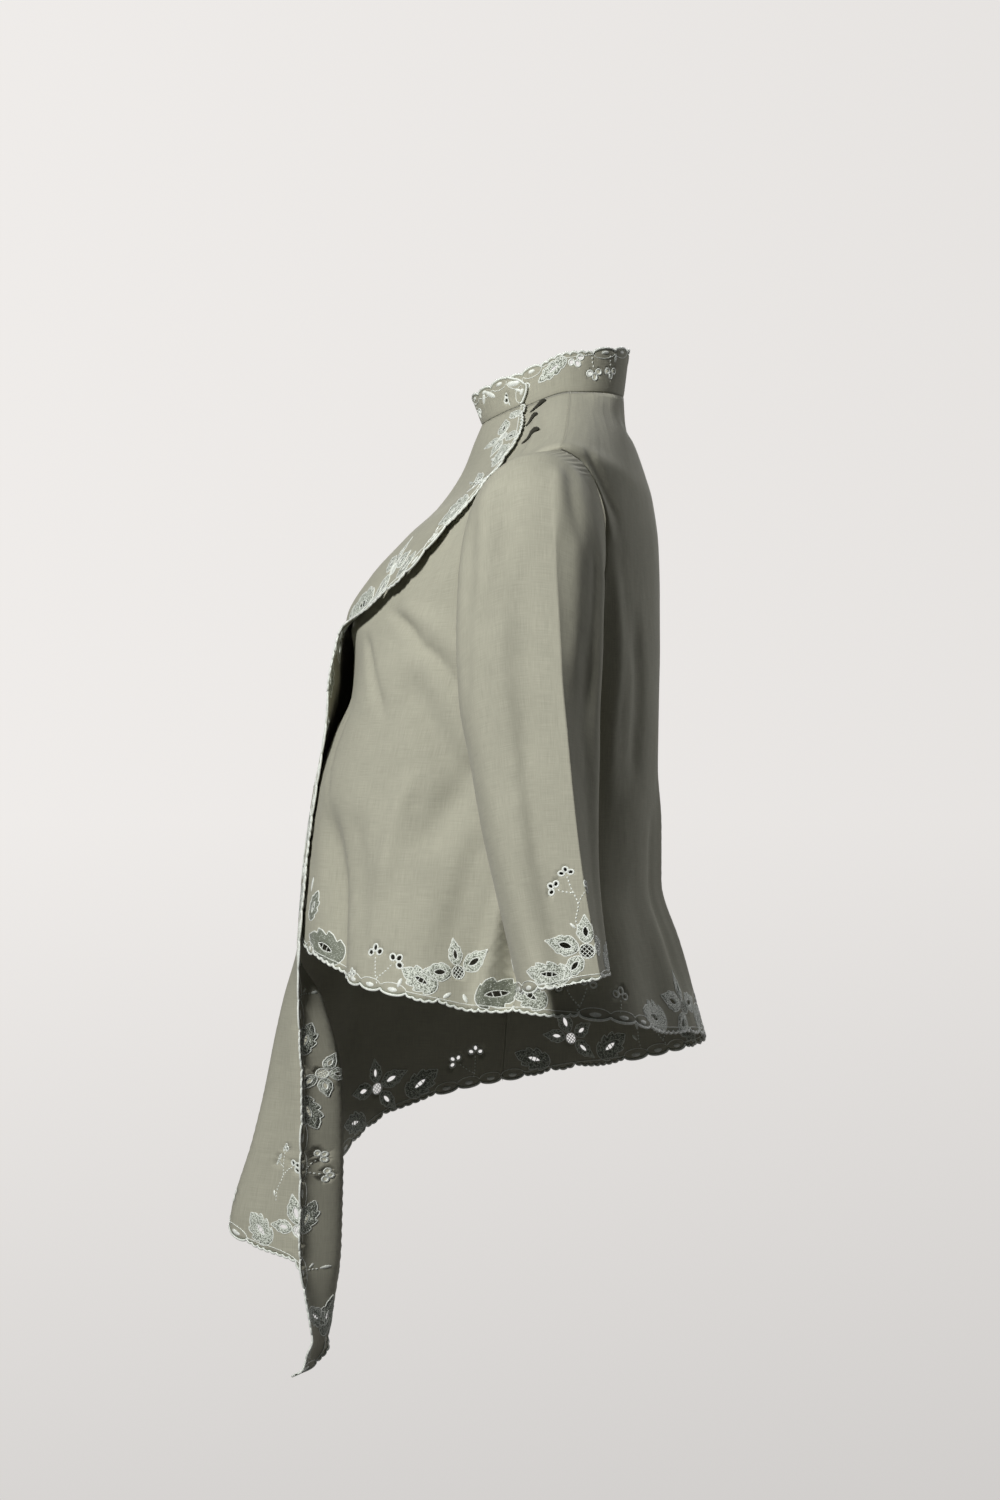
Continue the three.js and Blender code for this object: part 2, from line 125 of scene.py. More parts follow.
ARMHOLE = table(
    "down front back",
    (80, 0, 0), (86, 12, 14), (100, 20, 23), (125, 26, 28), (150, 27, 29), (175, 23, 25), (195, 12, 13), (205, 0, 0))
SHOULDER_TIP, UNDERARM = 80, 205
FREE_EDGE = table(
    "down angle lift",
    (0, 60, 0), (35, 62.5, 0.6), (52, 59, 1), (75, 60, 1), (92, 56.5, 1.5), (113, 51, 3), (140, 44, 4.5),
    (165, 29.5, 5), (190, 17, 8), (230, 17, 10), (280, 17, 4), (330, 17, 0.5), (420, 17, 1), (480, 17, 3),
    (830, 17, 3))
UNDER_DIP = table(
    "down dip",
    (0, 1.2), (70, 1.2), (130, 3), (180, 4), (215, 10), (245, 12), (275, 5), (310, 1.2))
UNDER_EDGE_NECK, UNDER_EDGE_LOW = 26, -32
HEM_LEFT_FRONT = table("angle down", (-32, 440), (0, 446), (18, 456), (45, 478), (75, 493), (90, 497))
HEM_BACK = table("angle down", (90, 497), (110, 504), (135, 514), (180, 531), (225, 560), (270, 584))
HEM_RIGHT_FRONT = table(
    "angle down",
    (-90, 584), (-60, 610), (-35, 655), (-16, 697), (-9, 710), (-3, 718), (2, 742), (7, 770), (12, 798), (17, 803))
TIP = 803
FOLDS = table(
    "angle width start end depth",
    (34, 8, 320, 420, -10), (56, 12, 300, 470, 7), (80, 9, 370, 480, -15), (118, 15, 330, 500, 9),
    (142, 11, 380, 510, -9), (208, 15, 340, 540, 9), (236, 12, 380, 560, -10), (266, 10, 380, 560, -13),
    (308, 15, 330, 580, 10))
TAIL_PARTS = (("fold", -16, 11), ("trough", 6.5, 6.5), ("edge", 18, 6))
TAIL = table(
    "down fold trough edge",
    (430, 0, 0, 0), (458, 6, 0, 0), (500, 19, -22, 2), (560, 33, -36, 1), (620, 48, -37, 3), (700, 68, -36, 3),
    (762, 68, -28, -8), (774, 68, -26, -10), (786, 68, -31, -5), (797, 68, -29, -2), (803, 68, -28, 8))


def tilt(c):
    """How far round from the side a point of a ring is, from 0 there to 1 at the centre front or back."""
    lowest = SHOULDER_ROUND
    return (np.hypot(c, lowest) - lowest) / (math.hypot(1, lowest) - lowest)


def figure(angle, down):
    """A point on the bare figure, at an angle round it and so far down it."""
    def ring(column):
        return along(RINGS, column, down)

    def rise(column):
        return along(RISES, column, down)

    c, s = np.cos(np.radians(angle)), np.sin(np.radians(angle))
    power = ring("squareness")
    reach = (np.abs(c) ** power + np.abs(s) ** power) ** (-1 / power)
    ahead = c >= 0
    depth = np.where(ahead, ring("sideY") - ring("frontY"), ring("backY") - ring("sideY"))
    high = mix(rise("side"), np.where(ahead, rise("front"), rise("back")), tilt(c)) - down
    return np.stack([ring("sideX") * s * reach, ring("sideY") - depth * c * reach, high], -1)


def folded(angle, down, out):
    """The figure with its largest folds, moved out by a distance."""
    step = 0.5
    around = figure(angle + step, down) - figure(angle - step, down)
    upward = figure(angle, down - step) - figure(angle, down + step)
    depth = out + np.zeros_like(angle)
    for middle, width, start, end, deep in zip(*FOLDS.values()):
        apart = np.abs((angle - middle + 180) % 360 - 180)
        depth = depth + deep * bump(apart, width) * ease(start, end, down)
    return figure(angle, down) + unit(np.cross(around, upward)) * depth[..., None]


def left_front(angle, down):
    covered = 1 - ease(-6, 24, angle - along(FREE_EDGE, "angle", down))
    return folded(angle, down, -along(UNDER_DIP, "dip", down) * covered)


def right_front(angle, down):
    edge = along(FREE_EDGE, "angle", down)
    lift = along(FREE_EDGE, "lift", down) * ease(0, EDGE_FLARE, angle - edge + EDGE_FLARE)
    place = folded(angle, down, OVER_LAP * ease(LAP_START, LAP_FULL, angle) + lift)
    for part, middle, width in TAIL_PARTS:
        place[..., 1] -= along(TAIL, part, down) * bump(angle - middle, width)
    return place


def back(angle, down):
    return folded(angle, down, 0)


SLEEVE = table(
    "ring outerX outerZ innerX innerZ midY halfDepth press creaseTurn",
    (0, 208, -62, 164, -207, -30, 55, 0, 343), (1, 232, -82, 166, -213, -32, 56, 0.1, 343),
    (2, 248, -118, 167, -224, -33, 57, 0.25, 342), (3, 257, -168, 167, -242, -34, 57, 0.5, 340),
    (4, 263, -226, 167, -276, -34, 55, 0.8, 337), (5, 268, -284, 168, -318, -30, 50, 1, 334),
    (6, 274, -340, 172, -362, -26, 45, 1, 329), (7, 281, -392, 179, -404, -20, 40, 1, 324),
    (8, 288, -436, 186, -442, -13, 37, 1, 320), (9, 294, -470, 193, -474, -7, 35, 0.8, 317))
LAST_RING = 9
CAP_ROWS, CAP_ROW_LENGTH = 3, 9
ELBOW_RING, CUFF_TILT = 3, 7
RIDGE = 0.12                       # the pressed crease stands out by this share of the section
FLAT_AHEAD, FLAT_BEHIND = 88, 62   # and the cloth runs nearly flat so many degrees from it


def armhole_point(turn):
    """The armhole's edge on the body, at a turn round it: 0 at the shoulder, 90 at the front."""
    down = mix(SHOULDER_TIP, UNDERARM, (1 - np.cos(np.radians(turn))) / 2)
    ahead = np.sin(np.radians(turn)) >= 0
    angle = np.where(ahead, LEFT - along(ARMHOLE, "front", down), LEFT + along(ARMHOLE, "back", down))
    return figure(angle, down)


def pressed(apart):
    """How far out a pressed tube's wall is, so many degrees from its crease: a flat face on each side of it."""
    span = np.where(apart > 0, FLAT_AHEAD, FLAT_BEHIND)
    share = np.clip(np.abs(apart) / span, 0, 1)
    rest, past = np.radians(span * (1 - share)), np.radians(span * share)
    face = np.sin(np.radians(span)) / (np.sin(rest) / (1 + RIDGE) + np.sin(past))
    return mix(face, 1, ease(0.45, 1, share))


def sleeve_ring(ring, turn):
    def at(column):
        return along(SLEEVE, column, ring)

    c, s = np.cos(np.radians(turn)), np.sin(np.radians(turn))
    reach = mix(1, pressed((turn + 540 - at("creaseTurn")) % 360 - 180), at("press"))
    drop = CUFF_TILT * ease(ELBOW_RING, LAST_RING, ring)
    return np.stack([
        mix(at("innerX"), at("outerX"), (1 + c * reach) / 2),
        at("midY") - at("halfDepth") * s * reach,
        mix(at("innerZ"), at("outerZ"), (1 + c) / 2) - drop * s], -1)


def sleeve(turn, row):
    """The wearer's left sleeve. Row 0 is at the armhole, and from row 3 it follows its rings."""
    seam = armhole_point(turn)
    in_cap = mix(seam, sleeve_ring(0 * turn, turn), np.clip(row / CAP_ROWS, 0, 1)[..., None])
    in_arm = sleeve_ring(np.clip(row - CAP_ROWS, 0, LAST_RING), turn)
    return np.where((row < CAP_ROWS)[..., None], in_cap, in_arm)


COLLAR = dict(start=32, end_low=419, end_middle=423, end_top=411, front=24, side=33, back=40,
              front_lean=9, back_lean=5)


def collar(angle, share):
    """The stand collar: a strip that leans with the neck, wound once round it and over its own start."""
    c = np.cos(np.radians(angle))
    ahead = c >= 0
    covered = 1 - ease(54, 84, angle)
    over = OVER_LAP * ease(LAP_START, LAP_FULL, np.where(angle > BACK, angle - 360, angle)) * (angle > BACK)
    place = folded(angle, 0 * angle, over - UNDER_DIP["dip"][0] * covered)
    height = mix(COLLAR["side"], np.where(ahead, COLLAR["front"], COLLAR["back"]), np.abs(c))
    lean = np.where(ahead, -COLLAR["front_lean"], -COLLAR["back_lean"])
    place[..., 1] += share * c * lean
    place[..., 2] += height * share
    return place


# ---------------------------------------------------------------- creases

def creases(*rows):
    """Each crease is its width, its depth, below 0 for a trough, and the points that it passes through."""
    return [(width, depth, curve(points)) for width, depth, *points in rows]


CREASE_REACH = 3             # past so many widths a crease is too shallow to count


def crease_depth(places, rows, scale):
    """How far out the creases move the cloth. Their points are in the panel's own terms, times the scale."""
    total = np.zeros(len(places))
    for width, depth, path in rows:
        path = path * scale
        near = near_box(places, path, CREASE_REACH * width)
        apart, where = line_distance(places[near], path)
        total[near] += depth * bump(apart, width) * ease(0, 0.25, where) * ease(0, 0.3, 1 - where)
    return total


SIDE_CREASES = creases(
    (7, -14, (90.5, 370), (89.5, 430), (87.5, 510)),
    (6, 8, (87, 390), (84.8, 435), (81, 510)))
LEFT_FRONT_CREASES = SIDE_CREASES + creases(
    (4.6, -4.6, (34, 160), (48, 190), (54, 208), (61, 222), (76, 275)),
    (9, 3, (38, 158), (56, 190), (72, 226), (82, 262)),
    (4.4, -3.8, (25, 188), (29, 203), (37, 229), (48, 275)),
    (12, -5.5, (49, 222), (60, 268), (74, 322)),
    (14, -6, (78, 290), (70, 335), (62, 385)),
    (8, 4, (60, 300), (56, 350), (54, 420)),
    (9, -2.5, (80, 352), (75, 410), (71, 460)),
    (2.4, -1.9, (25, 238), (24, 262), (22, 295), (28, 340)),
    (12, -8, (27, 328), (31, 368), (33.5, 402), (36, 448), (37, 500)),
    (12, -3.4, (40, 330), (46, 390), (50, 470)),
    (7, 2.2, (66, 12), (72, 40), (70, 70), (64, 100)),
    (6, -1.8, (74, 20), (80, 44), (80, 66)))
RIGHT_FRONT_CREASES = creases(
    (6, -2.6, (-34, 165), (-46, 192), (-58, 216), (-74, 262)),
    (12, -3.2, (-44, 222), (-58, 268), (-72, 322)),
    (14, -3.6, (-78, 290), (-68, 335), (-60, 395)),
    (6, -2.2, (30, 150), (12, 168), (-8, 186), (-30, 204)),
    (9, -2.4, (10, 215), (-4, 262), (-12, 320)),
    (12, 3, (-50, 420), (-46, 500), (-42, 580)),
    (14, -4, (-34, 470), (-30, 550), (-26, 650)),
    (10, 2.5, (-4, 500), (-1, 580), (1, 690)),
    (6, -2, (-74, 20), (-80, 44), (-80, 66)))
BACK_CREASES = SIDE_CREASES + creases(
    (12, 3, (124, 130), (126, 200), (124, 280), (126, 360)),
    (10, -3, (112, 150), (114, 220), (116, 320)),
    (14, -3.5, (138, 170), (140, 250), (138, 340)),
    (8, -3, (101, 96), (109, 122), (117, 160)),
    (7, -2.6, (102, 66), (115, 92), (131, 122)),
    (8, 2.4, (103, 84), (114, 108), (126, 144)),
    (10, 3.5, (168, 300), (170, 400), (172, 520)),
    (12, -3.4, (156, 330), (158, 420), (160, 515)),
    (10, -3, (192, 320), (194, 420), (196, 520)),
    (12, 3, (236, 130), (234, 210), (236, 300)),
    (12, -3, (250, 150), (246, 230), (244, 330)),
    (9, -3, (260, 90), (248, 122), (240, 165)),
    (8, -2.4, (264, 60), (252, 90), (236, 112)),
    (7, -2, (150, 20), (180, 28), (210, 20)),
    (10, -2.6, (222, 400), (224, 480), (226, 550)))


# ---------------------------------------------------------------- panels and borders

SHEET_SCALE = {"body": (2.9, 1), "sleeve": (-0.85, 1), "collar": (1.15, 1)}


SLOPE_STEP = 0.4             # how far apart the places are that a slope is measured between
FAR = 1e9


class Panel:
    """A flat sheet and the surface that it is wrapped on. Points are rows of (across, down) in millimetres."""

    def __init__(self, name, shape, across, rows, seams=()):
        self.name, self.shape, self.across, self.creases = name, shape, across, rows
        self.seams = seams

    def native(self, points):
        return points[:, 0] / self.across, points[:, 1]

    def bare(self, points):
        return self.shape(*self.native(points))

    def normals(self, points, shape, step=SLOPE_STEP):
        right, up = np.array((step, 0)), np.array((0, -step))
        return unit(np.cross(shape(points + right) - shape(points - right), shape(points + up) - shape(points - up)))

    def creased(self, points):
        depth = crease_depth(points, self.creases, np.array((self.across, 1)))
        for seam, rise in self.seams:
            depth += rise * bump(near_line(points, seam, 4 * SEAM_WIDTH), SEAM_WIDTH)
        return self.bare(points) + self.normals(points, self.bare) * depth[:, None]

    def place(self, points, out=None):
        """Where points of the sheet are when it is worn, so far out from the cloth's face."""
        if out is None:
            return self.creased(points)
        return self.creased(points) + self.normals(points, self.creased) * out[:, None]


SEAM_DIP, SEAM_WIDTH = -0.9, 1.5


def line_distance(points, line):
    """The distance from each point to a line of points, and the share of the line that its nearest place is at."""
    a, sides = line[:-1], np.diff(line, axis=0)
    lengths = np.linalg.norm(sides, axis=1)
    starts = np.concatenate([[0], np.cumsum(lengths)])
    nearest = np.full(len(points), FAR)
    where = np.zeros(len(points))
    for k, side in enumerate(sides):
        share = np.clip((points - a[k]) @ side / (side @ side), 0, 1)
        distance = np.linalg.norm(points - a[k] - share[:, None] * side, axis=1)
        closer = distance < nearest
        nearest[closer] = distance[closer]
        where[closer] = (starts[k] + share[closer] * lengths[k]) / starts[-1]
    return nearest, where


def near_line(points, line, reach, chunk=12):
    """The distance from each point to a long line, for those within reach of it."""
    nearest = np.full(len(points), FAR)
    for first in range(0, len(line) - 1, chunk):
        part = line[first:first + chunk + 1]
        near = near_box(points, part, reach)
        if near.any():
            nearest[near] = np.minimum(nearest[near], line_distance(points[near], part)[0])
    return nearest


class Border:
    """An edge of a panel. A point is how far along it and how far in from it, in millimetres on the cloth."""

    def __init__(self, panel, edge, inward, smooth=25):
        self.panel, self.inward = panel, inward
        edge = np.array(edge, float)
        places = panel.bare(edge)
        self.lengths = run_along(places)
        self.length = self.lengths[-1]
        self.edge = edge
        step = SLOPE_STEP
        right = (panel.bare(edge + (step, 0)) - panel.bare(edge - (step, 0))) / (2 * step)
        down = (places - panel.bare(edge - (0, step))) / step
        ahead = unit(np.gradient(places, self.lengths, axis=0))
        aside = inward * unit(np.cross(unit(np.cross(right, down)), ahead))
        inwards = np.stack([
            np.linalg.lstsq(np.stack([r, d], 1), a, rcond=None)[0] for r, d, a in zip(right, down, aside)])
        window = np.exp(-((self.lengths[:, None] - self.lengths) / smooth) ** 2)
        self.inwards = (window @ inwards) / window.sum(1, keepdims=True)

    def sheet(self, points):
        """Points of the border as points of the panel's sheet."""
        points = np.asarray(points, float)
        edge = np.stack([np.interp(points[:, 0], self.lengths, self.edge[:, k]) for k in (0, 1)], 1)
        inwards = np.stack([np.interp(points[:, 0], self.lengths, self.inwards[:, k]) for k in (0, 1)], 1)
        return edge + inwards * points[:, 1:2]


ARC, ARC_DEPTH = 23, 3.8       # the round arcs of a cut edge, and how deep they are
TOOTH, TOOTH_DEPTH = 7.0, 2.3  # the small teeth where a leaf or a flower reaches it


class Edge:
    """The shape of a border's cut edge: toothed where there are leaves and flowers, in plain arcs between."""

    def __init__(self, length, toothed, arc=ARC):
        runs, at = [], 0.0
        self.depth = ARC_DEPTH * arc / ARC
        for middle, reach in sorted(toothed):
            start, end = max(middle - reach, at), min(middle + reach, length)
            if end - start < 2 * TOOTH:
                continue
            count = round((start - at) / arc)
            if count == 0:
                start = at
            else:
                runs += [(a, b, 0) for a, b in pairs(np.linspace(at, start, count + 1))]
            runs.append((start, end, max(2, round((end - start) / TOOTH))))
            at = end
        if length - at > arc / 3:
            runs += [(a, b, 0) for a, b in pairs(np.linspace(at, length, max(1, round((length - at) / arc)) + 1))]
        else:
            runs[-1] = (runs[-1][0], length, runs[-1][2])
        self.length = length
        self.runs = np.array(runs)

    def arcs(self):
        return [(start, end) for start, end, teeth in self.runs if teeth == 0]

    def run_at(self, places):
        """The start, the end and the number of teeth of the run that each place is on."""
        k = np.searchsorted(self.runs[:, 0], places, side="right") - 1
        return self.runs[np.clip(k, 0, len(self.runs) - 1)].T

    def inset(self, places, teeth=True):
        """How far in the edge is at places along it."""
        start, end, count = self.run_at(places)
        share = np.clip((places - start) / (end - start), 0, 1)
        deep = self.depth * round_arc(share)
        return deep + TOOTH_DEPTH * round_arc((share * count) % 1) * (count > 0) * teeth

    def steps(self, step):
        return np.linspace(0, self.length, round(self.length / step) + 1)

    def line(self, step, further=0.0):
        """The points of a line that follows the edge so much further in."""
        places = self.steps(step)
        return np.stack([places, self.inset(places) + further], 1)

    def inner_line(self, step):
        """The line of the second cord, which closes each arc to a lens and runs straight behind the teeth."""
        places = self.steps(step)
        inset = self.inset(places, teeth=False)
        lens = 2.4 * self.depth - 1.2 * inset
        return np.stack([places, 0.8 + np.where(self.run_at(places)[2] > 0, 1.2 * self.depth, lens)], 1)


def pairs(values):
    return zip(values[:-1], values[1:])


def round_arc(share):
    return 1 - np.sqrt(np.maximum(0, 1 - (2 * share - 1) ** 2))


def inside(points, outline):
    """Which points are inside a closed outline."""
    x, y = points.T
    within = np.zeros(len(points), bool)
    for (x0, y0), (x1, y1) in zip(outline, np.roll(outline, -1, 0)):
        if y0 != y1:
            crosses = (y0 > y) != (y1 > y)
            within ^= crosses & (x < (x1 - x0) * (y - y0) / (y1 - y0) + x0)
    return within


def spread(outline, holes, spacing):
    """Points in rows inside an outline and clear of its holes, every second row moved by half a step."""
    low, high = outline.min(0), outline.max(0)
    rows = np.arange(low[1], high[1], spacing * 0.866)
    across = np.arange(low[0], high[0], spacing)
    points = np.array([(x + spacing / 2 * (k % 2), y) for k, y in enumerate(rows) for x in across])
    return clear(points, outline, holes, spacing * 0.55)


def clear(points, outline, holes, gap):
    """Those of the points that are inside the outline, outside the holes and not too near a cut."""
    if len(points) == 0:
        return np.zeros((0, 2))
    keep = inside(points, outline)
    for hole in holes:
        near = near_box(points, hole)
        keep[near] &= ~inside(points[near], hole)
    return far_from(points[keep], np.concatenate([outline, *holes]), gap)


def far_from(points, others, gap):
    """Those of the points that are more than a gap away from all the others."""
    if len(points) == 0 or len(others) == 0:
        return points
    tree = KDTree(len(others))
    for i, (x, y) in enumerate(others):
        tree.insert((x, y, 0), i)
    tree.balance()
    return points[[tree.find((x, y, 0))[2] > gap for x, y in points]]


def triangles(outline, holes, extra):
    """Triangles that fill an outline round its holes and go through the extra points."""
    loops = [outline, *holes]
    owner = np.concatenate([np.full(len(loop), k) for k, loop in enumerate(loops)] + [np.full(len(extra), -1)])
    points = np.concatenate([*loops, extra])
    edges, first = [], 0
    for loop in loops:
        edges += [(first + i, first + (i + 1) % len(loop)) for i in range(len(loop))]
        first += len(loop)
    flipped = [Vector((x, -y)) for x, y in points]
    made, _, faces, origins, _, _ = delaunay_2d_cdt(flipped, edges, [], 0, 1e-4, True)
    made = np.array([(v.x, -v.y) for v in made])
    kind = np.array([owner[ids[0]] if ids else -1 for ids in origins])
    faces = np.array(faces)
    kinds = kind[faces]
    in_hole = (kinds[:, 0] > 0) & (kinds[:, 0] == kinds[:, 1]) & (kinds[:, 1] == kinds[:, 2])
    keep = ~in_hole
    doubtful = (kinds == 0).all(1)
    keep[doubtful] = inside(made[faces[doubtful]].mean(1), outline)
    return made, faces[keep]


def cloth_mesh(name, panel, outline, trims, rows, spacing=5.0):
    """A panel's cloth as a mesh, cut along its outline and round the holes of its embroidery."""
    holes = [trim.border.sheet(hole) for trim in trims for hole in trim.motifs.holes]
    stitched = [trim.border.sheet(points) for trim in trims for points in trim.pad_points()]
    lines = np.concatenate([*rows, *stitched])
    lines = clear(lines, outline, holes, 0.5)
    extra = far_from(spread(outline, holes, spacing), lines, spacing * 0.5)
    flat, faces = triangles(outline, holes, np.concatenate([lines, extra]))
    return new_piece(name, panel.place(flat) * MM, faces, flat * MM)


def new_piece(name, places, faces, flat):
    """A piece from its vertices and triangles. flat is where the vertices are on the cut cloth, in metres."""
    mesh = bpy.data.meshes.new(name)
    mesh.from_pydata(places.tolist(), [], faces.tolist())
    uv = mesh.uv_layers.new(name="flat")
    loops = np.zeros(len(mesh.loops), int)
    mesh.loops.foreach_get("vertex_index", loops)
    uv.data.foreach_set("uv", flat[loops].astype(np.float32).ravel())
    mesh.polygons.foreach_set("use_smooth", np.ones(len(mesh.polygons), bool))
    return bpy.data.objects.new(name, mesh)


def smooth_mesh(name, work):
    for face in work.faces:
        face.smooth = True
    mesh = bpy.data.meshes.new(name)
    work.to_mesh(mesh)
    work.free()
    return mesh


def thicken(piece, thickness):
    wall = piece.modifiers.new("wall", "SOLIDIFY")
    wall.thickness = thickness * MM
    wall.offset = -1
    return piece


# ---------------------------------------------------------------- embroidery

PAD_SPACING = 2.6            # between the points of an area filled with small stitches
EDGE_STEP = 1.1              # between the points of a cut edge
TOOTHED_REACH, TOOTHED_WITHIN = 26, 34   # the edge is toothed so far each side of a motif that stands so near it
STITCH_RISE = 0.45           # how far a satin cord stands over each face of the cloth
PAD_RISE = 0.18              # and an area filled with small stitches
PALE, EVEN, DEEP = 0.0, 0.35, 1.0    # the tones of the cords and fills; DEEP is painted shade on the first leaf of the left front's hem, and in part on the thin cord beside the edge cord


def turned(points, degrees):
    """Points turned about their origin, so that what pointed in from the edge leans along it."""
    c, s = math.cos(math.radians(degrees)), math.sin(math.radians(degrees))
    return np.asarray(points, float) @ np.array([[c, -s], [s, c]])


def placer(at, turn, size, side=1):
    """A function that puts a motif's own points on its border. A side of -1 mirrors the motif."""
    def place(*points):
        return np.array(at) + turned(np.array(points, float) * (side * size, size), turn)
    return place


def both_sides(half):
    """A closed outline from one side of it, given from its base to its tip."""
    half = np.array(half, float)
    return np.concatenate([half, (half * (-1, 1))[-2:0:-1]])


def filled_in(outline, step):
    """A closed outline with points no further apart than a step."""
    parts = []
    for a, b in zip(outline, np.roll(outline, -1, 0)):
        count = max(1, round(np.linalg.norm(b - a) / step))
        parts.append(a + (b - a) * np.linspace(0, 1, count, endpoint=False)[:, None])
    return np.concatenate(parts)


def softened(outline, times=1):
    """A closed outline with its corners taken off."""
    for _ in range(times):
        outline = 0.5 * outline + 0.25 * (np.roll(outline, 1, 0) + np.roll(outline, -1, 0))
    return outline


def eyelet_loop(long, wide, pointed, steps):
    """The outline of a hole, long in the direction in from the edge. A pointed one is a slit."""
    turn = np.linspace(0, 2 * np.pi, steps, endpoint=False)
    c, s = np.cos(turn), np.sin(turn)
    return np.stack([wide / 2 * s * np.abs(s) ** pointed, long / 2 * c], 1)


class Motifs:
    """Embroidery drawn flat on a border: along the edge, in from it and out from the cloth, in millimetres."""

    def __init__(self, cloth, edge):
        self.cloth, self.edge = cloth, edge
        self.work = bmesh.new()
        self.stitch = self.work.verts.layers.float_vector.new("stitch")
        self.holes, self.pads = [], []

    def cord(self, path, width, size=1.0, tone=PALE, closed=False, sides=6, rise=STITCH_RISE):
        """A satin cord along a path. Its stitches go round both faces of the cloth."""
        path = np.asarray(path, float)
        if closed:
            ahead = unit(np.roll(path, -1, 0) - np.roll(path, 1, 0))
            path, ahead = np.concatenate([path, path[:1]]), np.concatenate([ahead, ahead[:1]])
        else:
            ahead = unit(np.gradient(path, axis=0))
        aside = np.stack([-ahead[:, 1], ahead[:, 0]], 1)
        size = size * np.ones(len(path))
        turn = np.linspace(0, 2 * np.pi, sides + 1)
        across = size[:, None] * np.cos(turn) * width / 2
        out = -self.cloth / 2 + size[:, None] * np.sin(turn) * (self.cloth / 2 + rise)
        places = path[:, None] + aside[:, None] * across[..., None]
        run = run_along(path)
        grid = bmesh.ops.create_grid(self.work, x_segments=sides, y_segments=len(path) - 1, size=1)
        rows = zip(grid["verts"], places.reshape(-1, 2).tolist(), out.ravel().tolist(),
                   np.repeat(run, sides + 1).tolist(), across.ravel().tolist())
        for vert, (x, y), h, r, a in rows:
            vert.co = (x, y, h)
            vert[self.stitch] = (r, a, tone)

    def kept(self, outline):
        """An outline pushed in where it would cross the cut edge."""
        return np.stack([outline[:, 0], np.maximum(outline[:, 1], self.edge.inset(outline[:, 0]) + 1.6)], 1)

    def stroke(self, path, width, tone=PALE, rise=STITCH_RISE, sides=6):
        """A cord with two pointed ends."""
        path = np.asarray(path, float)
        share = np.linspace(0, 1, len(path))
        self.cord(path, width, np.sin(np.pi * share) ** 0.6 * (share > 0) * (share < 1), tone, rise=rise, sides=sides)

    def pad(self, outline, tone):
        self.pads.append((outline, tone))

    def eyelet(self, at, long, wide, turn=0.0, pointed=0.0, ring=1.3, steps=14):
        """A hole through the cloth with a satin ring round it."""
        hole = at + turned(eyelet_loop(long, wide, pointed, steps), turn)
        self.holes.append(hole)
        grown = at + turned(eyelet_loop(long + 0.9, wide + 0.9, pointed, steps), turn)
        self.cord(grown, ring, closed=True)

    def bars(self, at, long, wide, turn, count):
        """Thin bars across a slit."""
        for share in np.linspace(-0.5, 0.5, count + 2)[1:-1]:
            half = wide / 2 * math.cos(math.pi * share) + 0.3
            self.cord(at + turned([(-half, share * long), (half, share * long)], turn), 0.75, sides=5, rise=0.1)

    def net(self, at, radius, turn):
        """A round hole with a net of thin bars over it."""
        self.eyelet(at, 2 * radius, 2 * radius, steps=20, ring=1.2)
        for lean in (turn - 52, turn + 38):
            for off in np.arange(-1.5, 2) * radius * 0.48:
                half = math.sqrt(radius ** 2 - off ** 2)
                self.cord(at + turned([(off, -half), (off, half)], lean), 0.6, sides=4, rise=0.05)

    def almond(self, at, turn, long, wide, tone=PALE):
        """A solid satin leaf."""
        share = np.linspace(-0.5, 0.5, 9)
        path = at + turned(np.stack([0.12 * long * (0.25 - share ** 2), share * long], 1), turn)
        self.stroke(path, wide, tone, rise=0.6, sides=8)

    def stem(self, points, dash=3.0):
        """A line of short stitches through points."""
        path = curve(points, 10)
        run = run_along(path)
        count = max(1, round(run[-1] / dash))
        for k in range(count):
            part = (k + np.linspace(0.04, 0.92, 5)) * run[-1] / count
            dash_path = np.stack([np.interp(part, run, path[:, 0]), np.interp(part, run, path[:, 1])], 1)
            self.stroke(dash_path, 1.7, sides=5, rise=0.6)

    def cluster(self, at, turn, size=1.0):
        """Three berries round the end of a stem."""
        for lean in (-74, 0, 74):
            middle = at + turned([(0, 4.6 * size)], turn + lean)[0]
            self.eyelet(middle, 4.8 * size, 3.9 * size, turn + lean, ring=1.9, steps=14)

    def leaf(self, at, turn, size=1.0, tone=EVEN, slim=1.0):
        """A leaf with pointed lobes and a ladder of slits along its middle."""
        at = np.array(at, float)
        drawn = both_sides(LEAF) * (slim * LEAF_LONG * size, LEAF_LONG * size)
        outline = self.kept(at + turned(softened(filled_in(drawn, 1.3)), turn))
        self.pad(outline, tone)
        self.cord(outline, 1.3, closed=True)
        middle = at + turned([(0, 0.44 * LEAF_LONG * size)], turn)[0]
        long, wide = SLIT_SHARE * LEAF_LONG * size, SLIT_WIDE * slim * size
        self.eyelet(middle, long, wide, turn, 0.7, ring=1.1, steps=18)
        self.bars(middle, long, wide, turn, 2)
        for side in (-1, 1):
            for low, high in LEAF_VEINS:
                vein = np.array([(low[0] * side * slim, low[1]), (high[0] * side * slim, high[1])]) * LEAF_LONG * size
                self.stroke(at + turned(np.linspace(*vein, 5), turn), 0.7, sides=4, rise=0.35)
        ridge = np.linspace((0, 0.66), (0, 0.93), 5) * LEAF_LONG * size
        self.stroke(at + turned(ridge, turn), 0.9, sides=5)

    def petal(self, at, turn, size, tone):
        outline = self.kept(at + turned(softened(filled_in(both_sides(PETAL) * size, 1.3)), turn))
        self.pad(outline, tone)
        self.cord(outline, 1.25, closed=True)
        self.eyelet(at + turned([(0, 9.4 * size)], turn)[0], 9.4 * size, 3.9 * size, turn, 0.6, ring=1.3, steps=16)
        self.stroke(at + turned(np.linspace((0, 14.6), (0, 19.6), 4) * size, turn), 0.8, sides=5)

